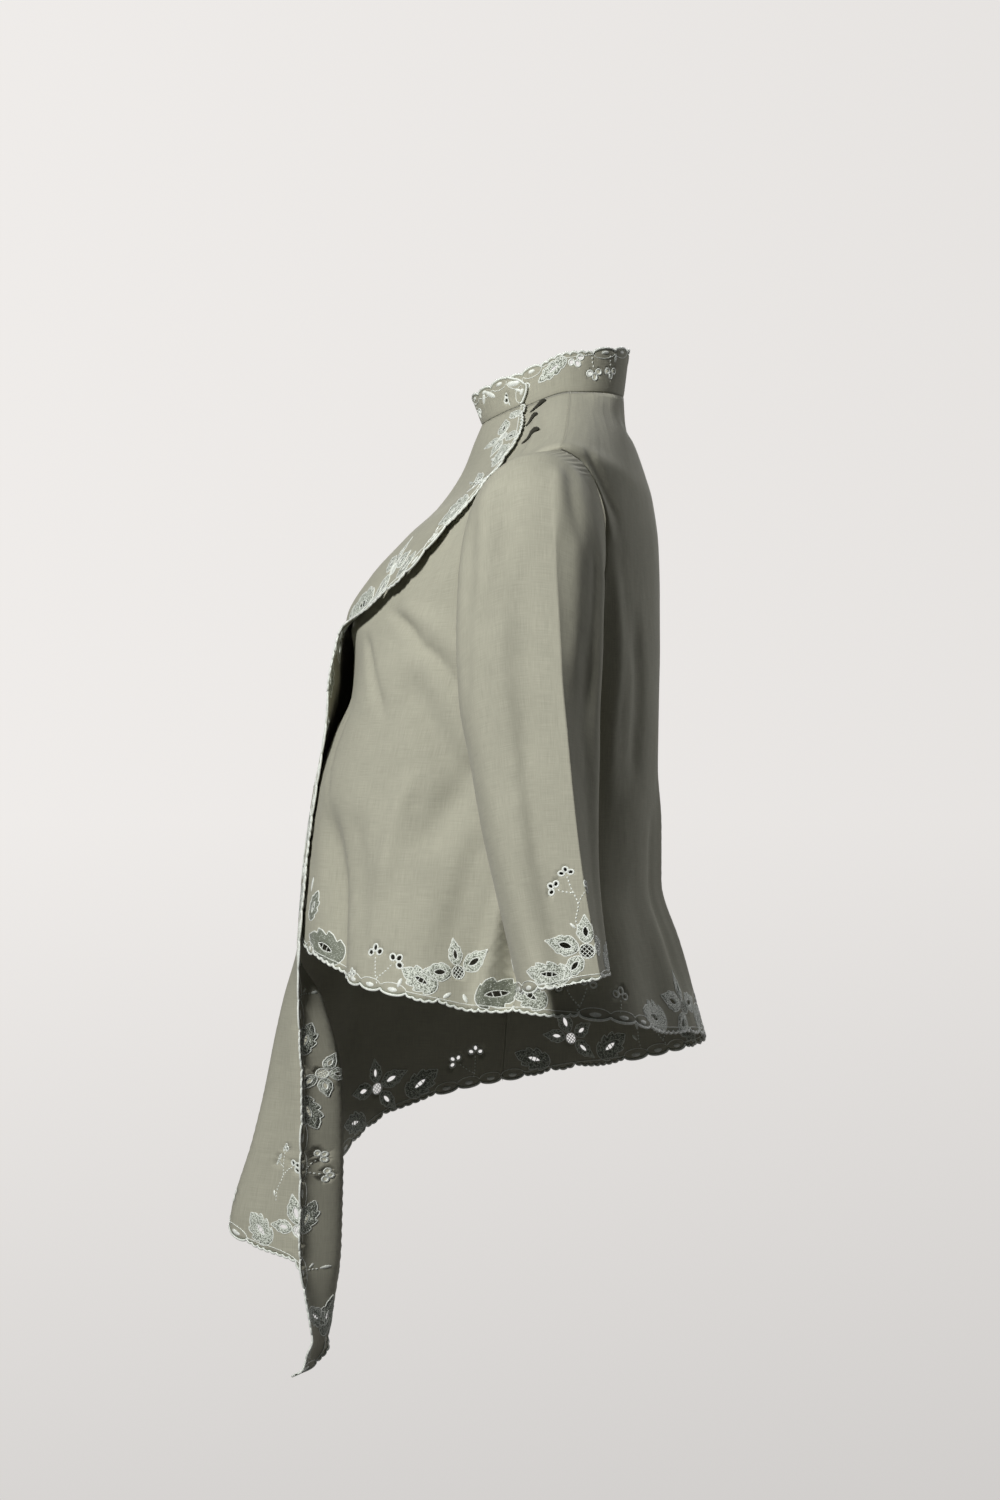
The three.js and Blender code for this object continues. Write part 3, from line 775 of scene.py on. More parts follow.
    def flower(self, at, turn, size=1.0, petals=5, skip=(), tone=PALE):
        """A flower with a netted centre. The petals that other stitching would cover are skipped."""
        at = np.array(at, float)
        for k in range(petals):
            if k not in skip:
                lean = turn + 360 / petals * k + 6 * math.sin(1.7 * k + at[0])
                grown = size * (1 + 0.1 * math.sin(2.3 * k + at[0]))
                self.petal(at + turned([(0, 6.4 * size)], lean)[0], lean, grown, tone if k % 2 else 0.5 * tone)
        self.net(at, 5.2 * size, turn)

    def sprig(self, at, turn, size=1.0, side=1):
        """A stem with berries at its top and on two branches, and a small leaf at its foot."""
        place = placer(at, turn, size, side)
        self.stem(place((0, 0), (-2, 14), (3, 30), (-1, 46), (-3, 58)))
        self.stem(place((3, 30), (9, 38), (16, 43)))
        self.stem(place((0, 41), (-8, 43), (-14, 46)))
        self.cluster(place((-3, 60))[0], turn - 4 * side, size)
        self.cluster(place((18, 44))[0], turn + 48 * side, size)
        self.cluster(place((-16, 47))[0], turn - 50 * side, size)
        self.almond(place((-6, 9))[0], turn - 34 * side, 9 * size, 3.4 * size)

    def twig(self, at, turn, size=1.0, side=1):
        """A short stem that forks to two clusters of berries."""
        place = placer(at, turn, size, side)
        self.stem(place((0, 0), (-4, 8), (-8, 20)))
        self.stem(place((-2, 4), (4, 10), (9, 17)))
        self.cluster(place((-9, 22))[0], turn - 14 * side, size)
        self.cluster(place((11, 19))[0], turn + 34 * side, size)

    def drop(self, at, turn, size=1.0):
        """A short upright stem with berries at its end."""
        self.stem(np.array(at) + turned([(0, 0), (0.5, 5), (0, 10)], turn) * size)
        self.cluster(np.array(at) + turned([(0, 12)], turn)[0] * size, turn, size)

    def bud(self, at, turn, size=1.0):
        """An upright stem with a bud at its end and one small leaf."""
        place = placer(at, turn, size)
        self.stem(place((0, 0), (1, 8), (0, 17)))
        self.almond(place((0, 23))[0], turn, 12 * size, 3.8 * size)
        self.almond(place((4.5, 11))[0], turn + 38, 8 * size, 3 * size)


LEAF_LONG = 36
SLIT_SHARE, SLIT_WIDE = 0.34, 3.6    # the slit in a leaf: its share of the leaf's length, and its width
LEAF = ((0, 0), (0.1, 0.03), (0.19, 0.1), (0.26, 0.24), (0.185, 0.255), (0.27, 0.37), (0.3, 0.5), (0.2, 0.5),
        (0.245, 0.61), (0.24, 0.74), (0.15, 0.72), (0.135, 0.83), (0.06, 0.92), (0, 1))
LEAF_VEINS = (((0.08, 0.2), (0.19, 0.2)), ((0.08, 0.38), (0.24, 0.44)), ((0.08, 0.56), (0.2, 0.66)))
PETAL = ((0, 0), (2.7, 0.3), (5.2, 3.4), (7.2, 7.2), (7.3, 10), (5.9, 10.6), (6.6, 13.6), (5.6, 16.2), (4.2, 16.4),
         (3.4, 19), (1.7, 21.6), (0, 25.6))


class Trim:
    """A border's embroidery: its cut edge, the cords along it, and the motifs that stand on it."""

    def __init__(self, name, border, rows, cloth=CLOTH, arc=ARC):
        self.name = name
        toothed = [(at, TOOTHED_REACH * size) for motif, at, into, turn, size, *_ in rows
                   if motif in (Motifs.leaf, Motifs.flower) and into < TOOTHED_WITHIN * size]
        self.border, self.cloth = border, cloth
        self.edge = Edge(border.length, toothed, arc)
        self.motifs = Motifs(cloth, self.edge)
        for motif, at, into, turn, size, *more in rows:
            motif(self.motifs, (at, into), turn, size, **(more[0] if more else {}))
        self.motifs.cord(self.edge.line(EDGE_STEP, 0.45), 2.1, sides=8, rise=0.55)
        # A thin deep cord just inside the edge cord: partly a dark green thread, partly painted shade beside the
        # raised edge cord.
        self.motifs.cord(self.edge.line(EDGE_STEP, 1.75), 0.6, tone=DEEP, sides=5, rise=0.2)
        self.motifs.cord(self.edge.inner_line(1.6), 0.95)
        for start, end in self.edge.arcs():
            if end - start > 14:
                middle = ((start + end) / 2, 1.05 * self.edge.depth + 0.9)
                self.motifs.almond(middle, 90, 0.45 * (end - start), 1.15 * self.edge.depth)

    def outline(self):
        return self.border.sheet(self.edge.line(EDGE_STEP))

    def pad_points(self):
        return [np.concatenate([outline, spread(outline, [], PAD_SPACING)]) for outline, _ in self.motifs.pads]

    def thread(self, name):
        """The satin cords, wrapped on the worn cloth."""
        work = self.motifs.work
        bmesh.ops.remove_doubles(work, verts=work.verts, dist=1e-4)
        if self.border.inward > 0:
            bmesh.ops.reverse_faces(work, faces=work.faces)
        mesh = smooth_mesh(name, work)
        flat = np.empty(3 * len(mesh.vertices))
        mesh.vertices.foreach_get("co", flat)
        flat = flat.reshape(-1, 3)
        places = self.border.panel.place(self.border.sheet(flat[:, :2]), flat[:, 2]) * MM
        mesh.vertices.foreach_set("co", places.ravel())
        return bpy.data.objects.new(name, mesh)

    def filling(self, name):
        """The areas filled with small stitches, as a thin layer over both faces of the cloth."""
        points, faces, out, tones, count = [], [], [], [], 0
        for k, (outline, tone) in enumerate(self.motifs.pads):
            holes = [hole for hole in self.motifs.holes if inside(hole.mean(0)[None], outline)[0]]
            flat, cut = triangles(outline, holes, spread(outline, holes, PAD_SPACING))
            points.append(flat)
            faces.append(cut + count)
            out.append(np.full(len(flat), PAD_RISE + 0.04 * (k % 3)))
            tones.append(np.full(len(flat), tone))
            count += len(flat)
        flat, out = np.concatenate(points), np.concatenate(out)
        faces = np.concatenate(faces)
        if self.border.inward < 0:
            faces = faces[:, ::-1]
        piece = new_piece(name, self.border.panel.place(self.border.sheet(flat), out) * MM, faces, flat * MM)
        tone = piece.data.attributes.new("tone", "FLOAT", "POINT")
        tone.data.foreach_set("value", np.concatenate(tones).astype(np.float32))
        return thicken(piece, self.cloth + PAD_RISE + 0.16)


# ---------------------------------------------------------------- outlines

BODY = SHEET_SCALE["body"][0]
SHOULDER_STEPS = 24


def line(angles, downs, scale=BODY):
    return np.stack([np.asarray(angles, float) * scale, np.asarray(downs, float) + 0 * np.asarray(angles)], 1)


def side_line(seam, way, side):
    """The shoulder seam, the armhole and the side seam's start, from the neck down."""
    shoulder = np.linspace(0, SHOULDER_TIP, SHOULDER_STEPS)
    turn = np.linspace(0, 180, 90)
    armhole = mix(SHOULDER_TIP, UNDERARM, (1 - np.cos(np.radians(turn))) / 2)
    downs = np.concatenate([shoulder[:-1], armhole])
    return line(seam + way * along(ARMHOLE, side, downs), downs)


def seam_rises(side, seam, shoulder):
    """The seams of a panel's side, with how far its cloth stands up beside each."""
    return [(side[:SHOULDER_STEPS], shoulder), (side[SHOULDER_STEPS - 1:], SEAM_DIP), (seam, SEAM_DIP)]


def joined(*parts):
    """One outline of several lines, each starting where the last one ended."""
    return np.concatenate([part[:-1] for part in parts])


def offsets(seam, steps, way):
    """Lines beside a seam, so that the cloth can dip to it."""
    ahead = unit(np.gradient(seam, axis=0))
    aside = np.stack([-ahead[:, 1], ahead[:, 0]], 1)
    return [seam + aside * step * way for step in steps]


def steps_between(start, end, step):
    return np.linspace(start, end, max(2, int(abs(end - start) / step)))


# ---------------------------------------------------------------- the layout of the embroidery

leaf, flower, almond, cluster = Motifs.leaf, Motifs.flower, Motifs.almond, Motifs.cluster
twig, sprig, drop, bud = Motifs.twig, Motifs.sprig, Motifs.drop, Motifs.bud

# Each row is a motif, how far along its edge and how far in it is, how it leans and its size.
HEM_LEFT_MOTIFS = (
    # The first leaf's deep tone is painted shade: the sleeve's shadow and a fold darken the hem there.
    (leaf, 32, 9, -68, 1.15, {"tone": DEEP}),
    (flower, 49, 29, 26, 0.95, {"skip": (2, 3), "tone": PALE}),
    (almond, 40, 10, 34, 9, {"wide": 4}),
    (almond, 55, 9, -50, 9, {"wide": 4}),
    (leaf, 64, 12, 72, 0.95, {"tone": PALE}),
    (almond, 95, 11, -12, 9, {"wide": 4}),
    (twig, 115, 6, 0, 1.05, {"side": -1}),
    (cluster, 148, 7, 20, 0.75),
    (leaf, 190, 10, 84, 1.3, {"tone": DEEP}),
    (leaf, 240, 26, -10, 0.75, {"tone": DEEP}),
    (almond, 248, 54, -4, 15, {"wide": 4}),
    (leaf, 262, 8, 56, 0.9),
    (twig, 324, 8, 4, 1.0),
    (leaf, 372, 8, -60, 0.9))
HEM_BACK_MOTIFS = (
    (leaf, 28, 8, -62, 1.0),
    (twig, 52, 6, 0, 1.0, {"side": -1}),
    (drop, 90, 8, 6, 1.1),
    (leaf, 168, 10, -84, 1.3, {"tone": PALE}),
    (flower, 200, 22, 0, 1.05, {"skip": (2,), "tone": PALE}),
    (leaf, 220, 8, 66, 1.0),
    (twig, 262, 7, -4, 1.0),
    (leaf, 330, 8, -62, 1.05, {"tone": PALE}),
    (flower, 352, 27, 8, 0.95, {"skip": (2,)}),
    (leaf, 374, 9, 66, 1.0),
    (twig, 424, 8, 4, 1.0, {"side": -1}),
    (bud, 452, 8, -8, 1.0),
    (leaf, 498, 9, -66, 1.05),
    (flower, 524, 27, 6, 0.92, {"skip": (2,)}),
    (leaf, 548, 8, 62, 0.95))
HEM_RIGHT_MOTIFS = (
    (twig, 26, 8, 4, 0.95),
    (leaf, 88, 9, -66, 1.0),
    (flower, 112, 27, -8, 0.92, {"skip": (2,)}),
    (leaf, 134, 8, 64, 0.95),
    (twig, 186, 8, 0, 1.0, {"side": -1}),
    (bud, 216, 8, 6, 1.0),
    (leaf, 262, 8, -60, 1.0),
    (twig, 292, 8, 0, 0.9),
    (leaf, 370, 9, -62, 1.05, {"tone": PALE}),
    (flower, 391, 28, -32, 0.9, {"skip": (1, 2, 3)}),
    (sprig, 364, 44, -6, 0.74),
    (bud, 430, 8, 6, 0.9),
    (leaf, 476, 8, -58, 0.9),
    (bud, 504, 8, 0, 0.7))
FREE_EDGE_MOTIFS = (
    (leaf, 60, 6, -30, 0.75),
    (bud, 92, 6, 6, 0.8),
    (leaf, 124, 5, 66, 0.8),
    (twig, 176, 5, 4, 0.75),
    (leaf, 236, 5, -66, 0.85),
    (flower, 254, 20, -8, 0.68, {"skip": (2,)}),
    (leaf, 270, 5, 66, 0.8),
    (bud, 318, 6, 8, 0.8),
    (twig, 356, 6, 4, 0.75, {"side": -1}),
    (leaf, 410, 5, -66, 0.85),
    (flower, 428, 20, 4, 0.7, {"skip": (2,)}),
    (leaf, 444, 5, 66, 0.85),
    (bud, 492, 6, -8, 0.9),
    (twig, 532, 6, 0, 0.85),
    (leaf, 592, 6, -62, 0.9),
    (flower, 612, 22, 6, 0.8, {"skip": (2,)}),
    (leaf, 664, 8, -66, 1.15, {"tone": PALE}),
    (flower, 692, 26, 8, 1.08, {"skip": (2,), "tone": PALE}),
    (leaf, 706, 8, 68, 0.85),
    (bud, 752, 5, 40, 0.7),
    (leaf, 802, 8, -68, 1.15, {"tone": PALE}),
    (flower, 833, 25, -10, 1.08, {"skip": (2,), "tone": PALE}),
    (leaf, 854, 8, 66, 1.0, {"tone": PALE}),
    (almond, 870, 27, 30, 14, {"wide": 4.5}),
    (flower, 904, 22, 12, 0.88, {"skip": (2,), "tone": PALE}),
    (leaf, 926, 5, 50, 0.6, {"tone": PALE}))
CUFF_MOTIFS = (
    (twig, 24, 7, 0, 0.9),
    (drop, 58, 8, 0, 1.0),
    (leaf, 140, 8, -76, 1.1, {"tone": PALE, "slim": 0.85}),
    (flower, 155, 24, 12, 1.0, {"tone": PALE, "skip": (2,)}),
    (sprig, 153, 38, 0, 0.78),
    (leaf, 190, 8, 60, 0.95),
    (twig, 236, 7, 0, 0.95, {"side": -1}))
COLLAR_MOTIFS = (
    (almond, 10, 8, 15, 9, {"wide": 4}),
    (almond, 29, 5, 66, 16, {"wide": 6}),
    (cluster, 42, 18, 0, 0.9),
    (almond, 60, 8, -50, 15, {"wide": 5.5}),
    (almond, 70, 9, 40, 12, {"wide": 5}),
    (drop, 88, 4, 0, 0.85),
    (leaf, 116, 5, 68, 0.8, {"tone": PALE, "slim": 0.65}),
    (drop, 156, 4, 0, 0.9),
    (drop, 176, 4, 0, 0.9),
    (leaf, 226, 5, -68, 0.8, {"tone": PALE, "slim": 0.65}),
    (cluster, 234, 6, 0, 0.9),
    (drop, 262, 4, 0, 0.9),
    (leaf, 306, 5, -68, 0.8, {"slim": 0.65}),
    (almond, 350, 9, 8, 10, {"wide": 4.5}),
    (drop, 357, 6, 2, 1.0),
    (drop, 377, 6, -2, 1.0),
    (cluster, 392, 6, -20, 1.0),
    (leaf, 399, 5, 72, 0.9, {"tone": PALE, "slim": 0.6}),
    (cluster, 442, 12, 0, 0.7))


# ---------------------------------------------------------------- materials

class Nodes:
    """The nodes of the world or of a material."""

    def __init__(self, tree):
        self.tree = tree

    def add(self, kind, inputs=(), **values):
        """A new node. Its inputs are numbers, colours or another node's output."""
        made = self.tree.nodes.new("ShaderNode" + kind)
        for key, value in values.items():
            setattr(made, key, value)
        for key, value in dict(inputs).items():
            if isinstance(value, bpy.types.NodeSocket):
                self.tree.links.new(value, made.inputs[key])
            else:
                made.inputs[key].default_value = value
        return made

    def noise(self, places, scale, detail=2.0):
        return self.add("TexNoise", {"Vector": places, "Scale": scale, "Detail": detail}).outputs["Fac"]

    def stretched(self, places, scale):
        return self.add("Mapping", {"Vector": places, "Scale": scale}).outputs["Vector"]

    def ranged(self, value, start, end, low, high):
        inputs = {"Value": value, "From Min": start, "From Max": end, "To Min": low, "To Max": high}
        return self.add("MapRange", inputs).outputs["Result"]

    def sum(self, a, b, operation="ADD"):
        return self.add("Math", {0: a, 1: b}, operation=operation).outputs["Value"]

    def blend(self, share, a, b):
        made = self.add("Mix", {"Factor": share, "A": a, "B": b}, data_type="RGBA")
        return made.outputs["Result"]

    def scaled(self, colour, share):
        return self.add("VectorMath", {0: colour, "Scale": share}, operation="SCALE").outputs["Vector"]

    def bumped(self, height, strength, distance, under=()):
        return self.add("Bump", {"Strength": strength, "Distance": distance, "Height": height, **dict(under)})


class Surface(Nodes):
    """A material and the nodes that are added to it."""

    def __init__(self, name, roughness, specular, sheen):
        self.material = bpy.data.materials.new(name)
        self.material.use_nodes = True
        super().__init__(self.material.node_tree)
        self.shader = self.tree.nodes["Principled BSDF"].inputs
        self.shader["Roughness"].default_value = roughness
        self.shader["Specular IOR Level"].default_value = specular
        self.shader["Sheen Weight"].default_value = sheen
        self.shader["Sheen Roughness"].default_value = 0.45

    def finish(self, colour, height, strength, distance, under=()):
        self.tree.links.new(colour, self.shader["Base Color"])
        bumps = self.bumped(height, strength, distance, under)
        self.tree.links.new(bumps.outputs["Normal"], self.shader["Normal"])
        return self.material


def cotton(name, colour):
    """Fine plain-weave cotton. Its weave follows the cut cloth."""
    nodes = Surface(name, roughness=0.86, specular=0.25, sheen=0.12)
    sheet = nodes.add("UVMap", uv_map="flat").outputs["UV"]
    warp = nodes.noise(nodes.stretched(sheet, (2600, 70, 1)), 1.0)
    weft = nodes.noise(nodes.stretched(sheet, (60, 2400, 1)), 1.0)
    weave = nodes.sum(warp, weft)
    slub = nodes.ranged(nodes.noise(nodes.stretched(sheet, (900, 26, 1)), 1.0, 3.0), 0.3, 0.7, 0.975, 1.025)
    cloudy = nodes.ranged(nodes.noise(sheet, 22.0, 3.0), 0.3, 0.7, 0.965, 1.035)
    tone = nodes.sum(nodes.ranged(weave, 0.7, 1.3, 0.87, 1.11), nodes.sum(slub, cloudy, "MULTIPLY"), "MULTIPLY")
    crumple = nodes.noise(nodes.stretched(sheet, (17, 11, 1)), 1.0, 3.0)
    soft = nodes.bumped(crumple, 0.4, 0.006)
    return nodes.finish(nodes.scaled(colour, tone), weave, 0.3, 0.0002, {"Normal": soft.outputs["Normal"]})


def satin(name, pale, deep):
    """Satin stitches: fine strands that run across the cord, pale or deep as the cord says."""
    nodes = Surface(name, roughness=0.42, specular=0.45, sheen=0.35)
    stitch = nodes.add("Attribute", attribute_name="stitch").outputs["Vector"]
    tone = nodes.add("SeparateXYZ", {0: stitch}).outputs["Z"]
    strands = nodes.noise(nodes.stretched(stitch, (3.4, 0.3, 0.0)), 1.0, 1.0)
    patchy = nodes.noise(nodes.stretched(stitch, (0.35, 0.1, 0.0)), 1.0, 2.0)
    patches = nodes.ranged(patchy, 0.3, 0.7, 0.88, 1.06)
    light = nodes.sum(nodes.ranged(strands, 0.3, 0.7, 0.82, 1.08), patches, "MULTIPLY")
    colour = nodes.scaled(nodes.blend(tone, pale, deep), light)
    return nodes.finish(colour, strands, 0.5, 0.0003)


def seed_stitch(name, pale, deep):
    """An area filled with small loose stitches, so that the thread glints in grains."""
    nodes = Surface(name, roughness=0.5, specular=0.4, sheen=0.3)
    sheet = nodes.add("UVMap", uv_map="flat").outputs["UV"]
    tone = nodes.add("Attribute", attribute_name="tone").outputs["Fac"]
    grains = nodes.add("TexVoronoi", {"Vector": sheet, "Scale": 950.0}, feature="F1").outputs["Distance"]
    rows = nodes.noise(nodes.stretched(sheet, (500, 1400, 1)), 1.0, 1.0)
    heights = nodes.sum(rows, grains, "SUBTRACT")
    glint = nodes.ranged(nodes.sum(heights, nodes.sum(tone, -0.4, "MULTIPLY")), -0.26, 0.12, 0.0, 1.0)
    return nodes.finish(nodes.blend(glint, deep, pale), heights, 0.7, 0.0006)


def twisted_cord(name, colour):
    """Dark thread, wound round and round."""
    nodes = Surface(name, roughness=0.75, specular=0.2, sheen=0.1)
    stitch = nodes.add("Attribute", attribute_name="stitch").outputs["Vector"]
    turns = nodes.noise(nodes.stretched(stitch, (4.0, 1.2, 0.0)), 1.0, 1.0)
    return nodes.finish(nodes.scaled(colour, nodes.ranged(turns, 0.3, 0.7, 0.6, 1.4)), turns, 0.6, 0.0003)


def plaster(name, colour, seen):
    """A dull floor that throws little light back up, and looks as pale as the backdrop."""
    nodes = Surface(name, roughness=0.8, specular=0.2, sheen=0.0)
    places = nodes.add("TexCoord").outputs["Object"]
    speckle = nodes.noise(places, 60.0, 4.0)
    made = nodes.finish(nodes.scaled(colour, nodes.ranged(speckle, 0.3, 0.7, 0.985, 1.015)), speckle, 0.05, 0.0005)
    glow = nodes.add("Emission", {"Color": (*seen, 1), "Strength": nodes.add("LightPath").outputs["Is Camera Ray"]})
    dull = nodes.tree.nodes["Principled BSDF"]
    both = nodes.add("AddShader", {0: dull.outputs["BSDF"], 1: glow.outputs["Emission"]})
    nodes.tree.links.new(both.outputs["Shader"], nodes.tree.nodes["Material Output"].inputs["Surface"])
    return made


# ---------------------------------------------------------------- the scene

camera = bpy.data.objects.new("camera", bpy.data.cameras.new("camera"))
camera.data.lens = CAMERA_LENS
camera.location = CAMERA_PLACE
camera.rotation_euler = (math.radians(90), 0, math.radians(90))
bpy.context.scene.collection.objects.link(camera)
bpy.context.scene.camera = camera
bpy.context.scene.view_settings.view_transform = "Standard"

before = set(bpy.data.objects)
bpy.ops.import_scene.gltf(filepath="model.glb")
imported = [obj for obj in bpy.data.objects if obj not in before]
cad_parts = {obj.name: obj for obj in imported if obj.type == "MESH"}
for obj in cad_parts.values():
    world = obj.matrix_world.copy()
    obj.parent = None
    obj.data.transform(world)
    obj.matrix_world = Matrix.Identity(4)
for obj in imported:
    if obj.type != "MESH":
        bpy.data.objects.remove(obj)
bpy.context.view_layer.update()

SAGE = (0.37, 0.362, 0.285)
sage = cotton("sage cotton", SAGE)
mint = satin("mint satin thread", (0.80, 0.83, 0.76, 1), (0.13, 0.17, 0.11, 1))
seeded = seed_stitch("mint seed stitch", (0.72, 0.76, 0.67, 1), (0.17, 0.185, 0.14, 1))
dark = twisted_cord("dark cord", (0.035, 0.034, 0.024))


def add(piece, slot, material, *nodes):
    """Puts a finished piece in the scene. nodes are the solids of the frame that it stands for."""
    bpy.context.scene.collection.objects.link(piece)
    piece.data.materials.append(material)
    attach(piece, "root")
    for node in nodes:
        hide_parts(node)
    return piece


def sewn(panel, outline, trims, rows, cloth=CLOTH, slot="sage_cotton", spacing=5.0):
    """One panel of cloth with its embroidery. Returns the cloth and then its trimmings."""
    piece = cloth_mesh(panel.name + "_cloth", panel, outline, trims, rows, spacing)
    pieces = [add(thicken(piece, cloth), slot, sage, panel.name)]
    for trim in trims:
        name = panel.name + "_" + trim.name
        pieces.append(add(trim.filling(name + "_filling"), "mint_thread", seeded))
        pieces.append(add(trim.thread(name + "_thread"), "mint_thread", mint))
    return pieces


SEAM_ROWS = (1.2, 2.4, 4.2)  # lines beside a seam, so that the cloth can dip to it
FREE_EDGE_NECK, FREE_EDGE_LOW = 60, 17   # the angles of the free edge, at the neck and where it hangs
LEFT_SIDE_END, RIGHT_SIDE_END = 497, 584


def side_seam(angle, end, count):
    return line(np.full(count, float(angle)), np.linspace(UNDERARM, end, count))


def beside(side, seam, way):
    return offsets(np.concatenate([side, seam[1:]]), SEAM_ROWS, way)


def left_front_pieces():
    side = side_line(LEFT, -1, "front")
    seam = side_seam(LEFT, LEFT_SIDE_END, 200)
    hem_angles = steps_between(LEFT, UNDER_EDGE_LOW, 0.5)
    hem_line = line(hem_angles, along(HEM_LEFT_FRONT, "down", hem_angles))
    downs = steps_between(440, 0, 6)
    hidden = line(mix(UNDER_EDGE_NECK, UNDER_EDGE_LOW, ease(0, 200, downs)), downs)
    neck = line(steps_between(UNDER_EDGE_NECK, LEFT, 1), 0)
    panel = Panel("left_front", left_front, BODY, LEFT_FRONT_CREASES, seam_rises(side, seam, -0.4))
    hem = Trim("hem", Border(panel, hem_line, 1), HEM_LEFT_MOTIFS)
    outline = joined(side, seam, hem.outline(), hidden, neck)
    return panel, sewn(panel, outline, [hem], beside(side, seam, 1))


def right_front_pieces():
    side = side_line(-LEFT, 1, "front")
    seam = side_seam(-LEFT, RIGHT_SIDE_END, 240)
    hem_angles = steps_between(-LEFT, FREE_EDGE_LOW, 0.5)
    hem_line = line(hem_angles, along(HEM_RIGHT_FRONT, "down", hem_angles))
    downs = steps_between(TIP, 0, 2)
    free_line = line(along(FREE_EDGE, "angle", downs), downs)
    neck = line(steps_between(FREE_EDGE_NECK, -LEFT, 1), 0)
    panel = Panel("right_front", right_front, BODY, RIGHT_FRONT_CREASES, seam_rises(side, seam, -0.4))
    hem = Trim("hem", Border(panel, hem_line, -1), HEM_RIGHT_MOTIFS)
    free = Trim("free_edge", Border(panel, free_line, -1), FREE_EDGE_MOTIFS)
    outline = joined(side, seam, hem.outline(), free.outline(), neck)
    return sewn(panel, outline, [hem, free], beside(side, seam, -1))


def back_pieces():
    left_side = side_line(LEFT, 1, "back")
    left_seam = side_seam(LEFT, LEFT_SIDE_END, 200)
    right_side = side_line(RIGHT, -1, "back")
    right_seam = side_seam(RIGHT, RIGHT_SIDE_END, 240)
    hem_angles = steps_between(LEFT, RIGHT, 0.5)
    hem_line = line(hem_angles, along(HEM_BACK, "down", hem_angles))
    neck = line(steps_between(RIGHT, LEFT, 1), 0)
    seams = seam_rises(left_side, left_seam, 0.4) + seam_rises(right_side, right_seam, 0.4)
    panel = Panel("back", back, BODY, BACK_CREASES, seams)
    hem = Trim("hem", Border(panel, hem_line, -1), HEM_BACK_MOTIFS)
    outline = joined(left_side, left_seam, hem.outline(), right_seam[::-1], right_side[::-1], neck)
    rows = beside(left_side, left_seam, -1) + beside(right_side, right_seam, 1)
    return sewn(panel, outline, [hem], rows)


SLEEVE_STEPS = np.concatenate([
    CAP_ROW_LENGTH * np.arange(CAP_ROWS + 1),
    CAP_ROWS * CAP_ROW_LENGTH + np.cumsum(np.hypot(np.diff(SLEEVE["outerX"]), np.diff(SLEEVE["outerZ"])))])
SLEEVE_LENGTH = SLEEVE_STEPS[-1]
SLEEVE_CREASES = creases(
    (7, 2, (28, 120), (27, 200), (25, 300), (24, 400)),
    (9, -2, (8, 110), (6, 200), (4, 300)),
    (9, -3.2, (62, 40), (58, 90), (60, 170), (66, 250)),
    (8, 2.6, (44, 30), (40, 90), (42, 170)),
    (8, -2, (24, 30), (22, 80), (20, 150)),
    (8, 2, (-35, 60), (-38, 140), (-36, 240)),
    (8, -3, (-62, 60), (-66, 140), (-60, 250)),
    (5, 1.5, (-20, 30), (-22, 70), (-20, 120)),
    (5, -2, (-30, 20), (-34, 60), (-40, 110)))
GATHER_WAVE, GATHER_DEPTH = 4.6, 0.32


def sleeve_sheet(turn, down):
    """The sleeve with the small gathers that ease its cap into the armhole."""
    place = sleeve(turn, np.interp(down, SLEEVE_STEPS, np.arange(len(SLEEVE_STEPS))))
    wave = np.sin(2 * np.pi * turn / GATHER_WAVE + 2.1 * np.sin(turn * 0.11))
    depth = GATHER_DEPTH * wave * ease(-48, -22, turn) * ease(-62, -30, -turn)
    depth = depth * ease(0.5, 3, down) * (1 - ease(8, 34, down))
    middle = np.stack([0 * turn + 195, 0 * turn - 31, 0 * turn - 150], -1)
    return place + unit(place - middle) * depth[..., None]


def sleeve_pieces():
    scale = SHEET_SCALE["sleeve"][0]
    turns = np.linspace(180, -180, 361)
    cap = line(np.linspace(180, -180, 541), 0, scale)
    seam_left = line(np.full(150, 180.0), np.linspace(0, SLEEVE_LENGTH, 150), scale)
    cuff_line = line(turns, SLEEVE_LENGTH, scale)
    seam_right = line(np.full(150, -180.0), np.linspace(SLEEVE_LENGTH, 0, 150), scale)
    panel = Panel("left_sleeve", sleeve_sheet, scale, SLEEVE_CREASES, [(cap, -0.6)])
    cuff = Trim("cuff", Border(panel, cuff_line, -1), CUFF_MOTIFS)
    outline = joined(seam_left, cuff.outline(), seam_right, cap[::-1])
    rings = np.linspace(0.4, LAST_RING, 130)
    crease = np.stack([(along(SLEEVE, "creaseTurn", rings) - 360) * scale,
                       np.interp(rings + CAP_ROWS, np.arange(len(SLEEVE_STEPS)), SLEEVE_STEPS)], 1)
    rows = (offsets(cap, (*SEAM_ROWS, 6.4, 9, 12, 15.5, 20, 25, 30), 1)
            + [crease + (side, 0) for side in (-7, -4, -2, -0.8, 0, 0.8, 2, 4, 7)])
    pieces = sewn(panel, outline, [cuff], rows)
    work = bmesh.new()
    work.from_mesh(pieces[0].data)
    bmesh.ops.remove_doubles(work, verts=work.verts, dist=0.00002)
    work.to_mesh(pieces[0].data)
    work.free()
    return pieces


def mirrored(pieces):
    """The same pieces on the wearer's right."""
    others = []
    for piece in pieces:
        other = bpy.data.objects.new(piece.name.replace("left", "right"), piece.data.copy())
        for wall in piece.modifiers:
            thicken(other, wall.thickness / MM)
        work = bmesh.new()
        work.from_mesh(other.data)
        bmesh.ops.scale(work, vec=(-1, 1, 1), verts=work.verts)
        bmesh.ops.reverse_faces(work, faces=work.faces)
        work.to_mesh(other.data)
        work.free()
        bpy.context.scene.collection.objects.link(other)
        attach(other, "root")
        others.append(other)
    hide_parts("right_sleeve")
    return others


COLLAR_HEIGHT = 33


def collar_sheet(angle, down):
    return collar(angle, 1 - down / COLLAR_HEIGHT)


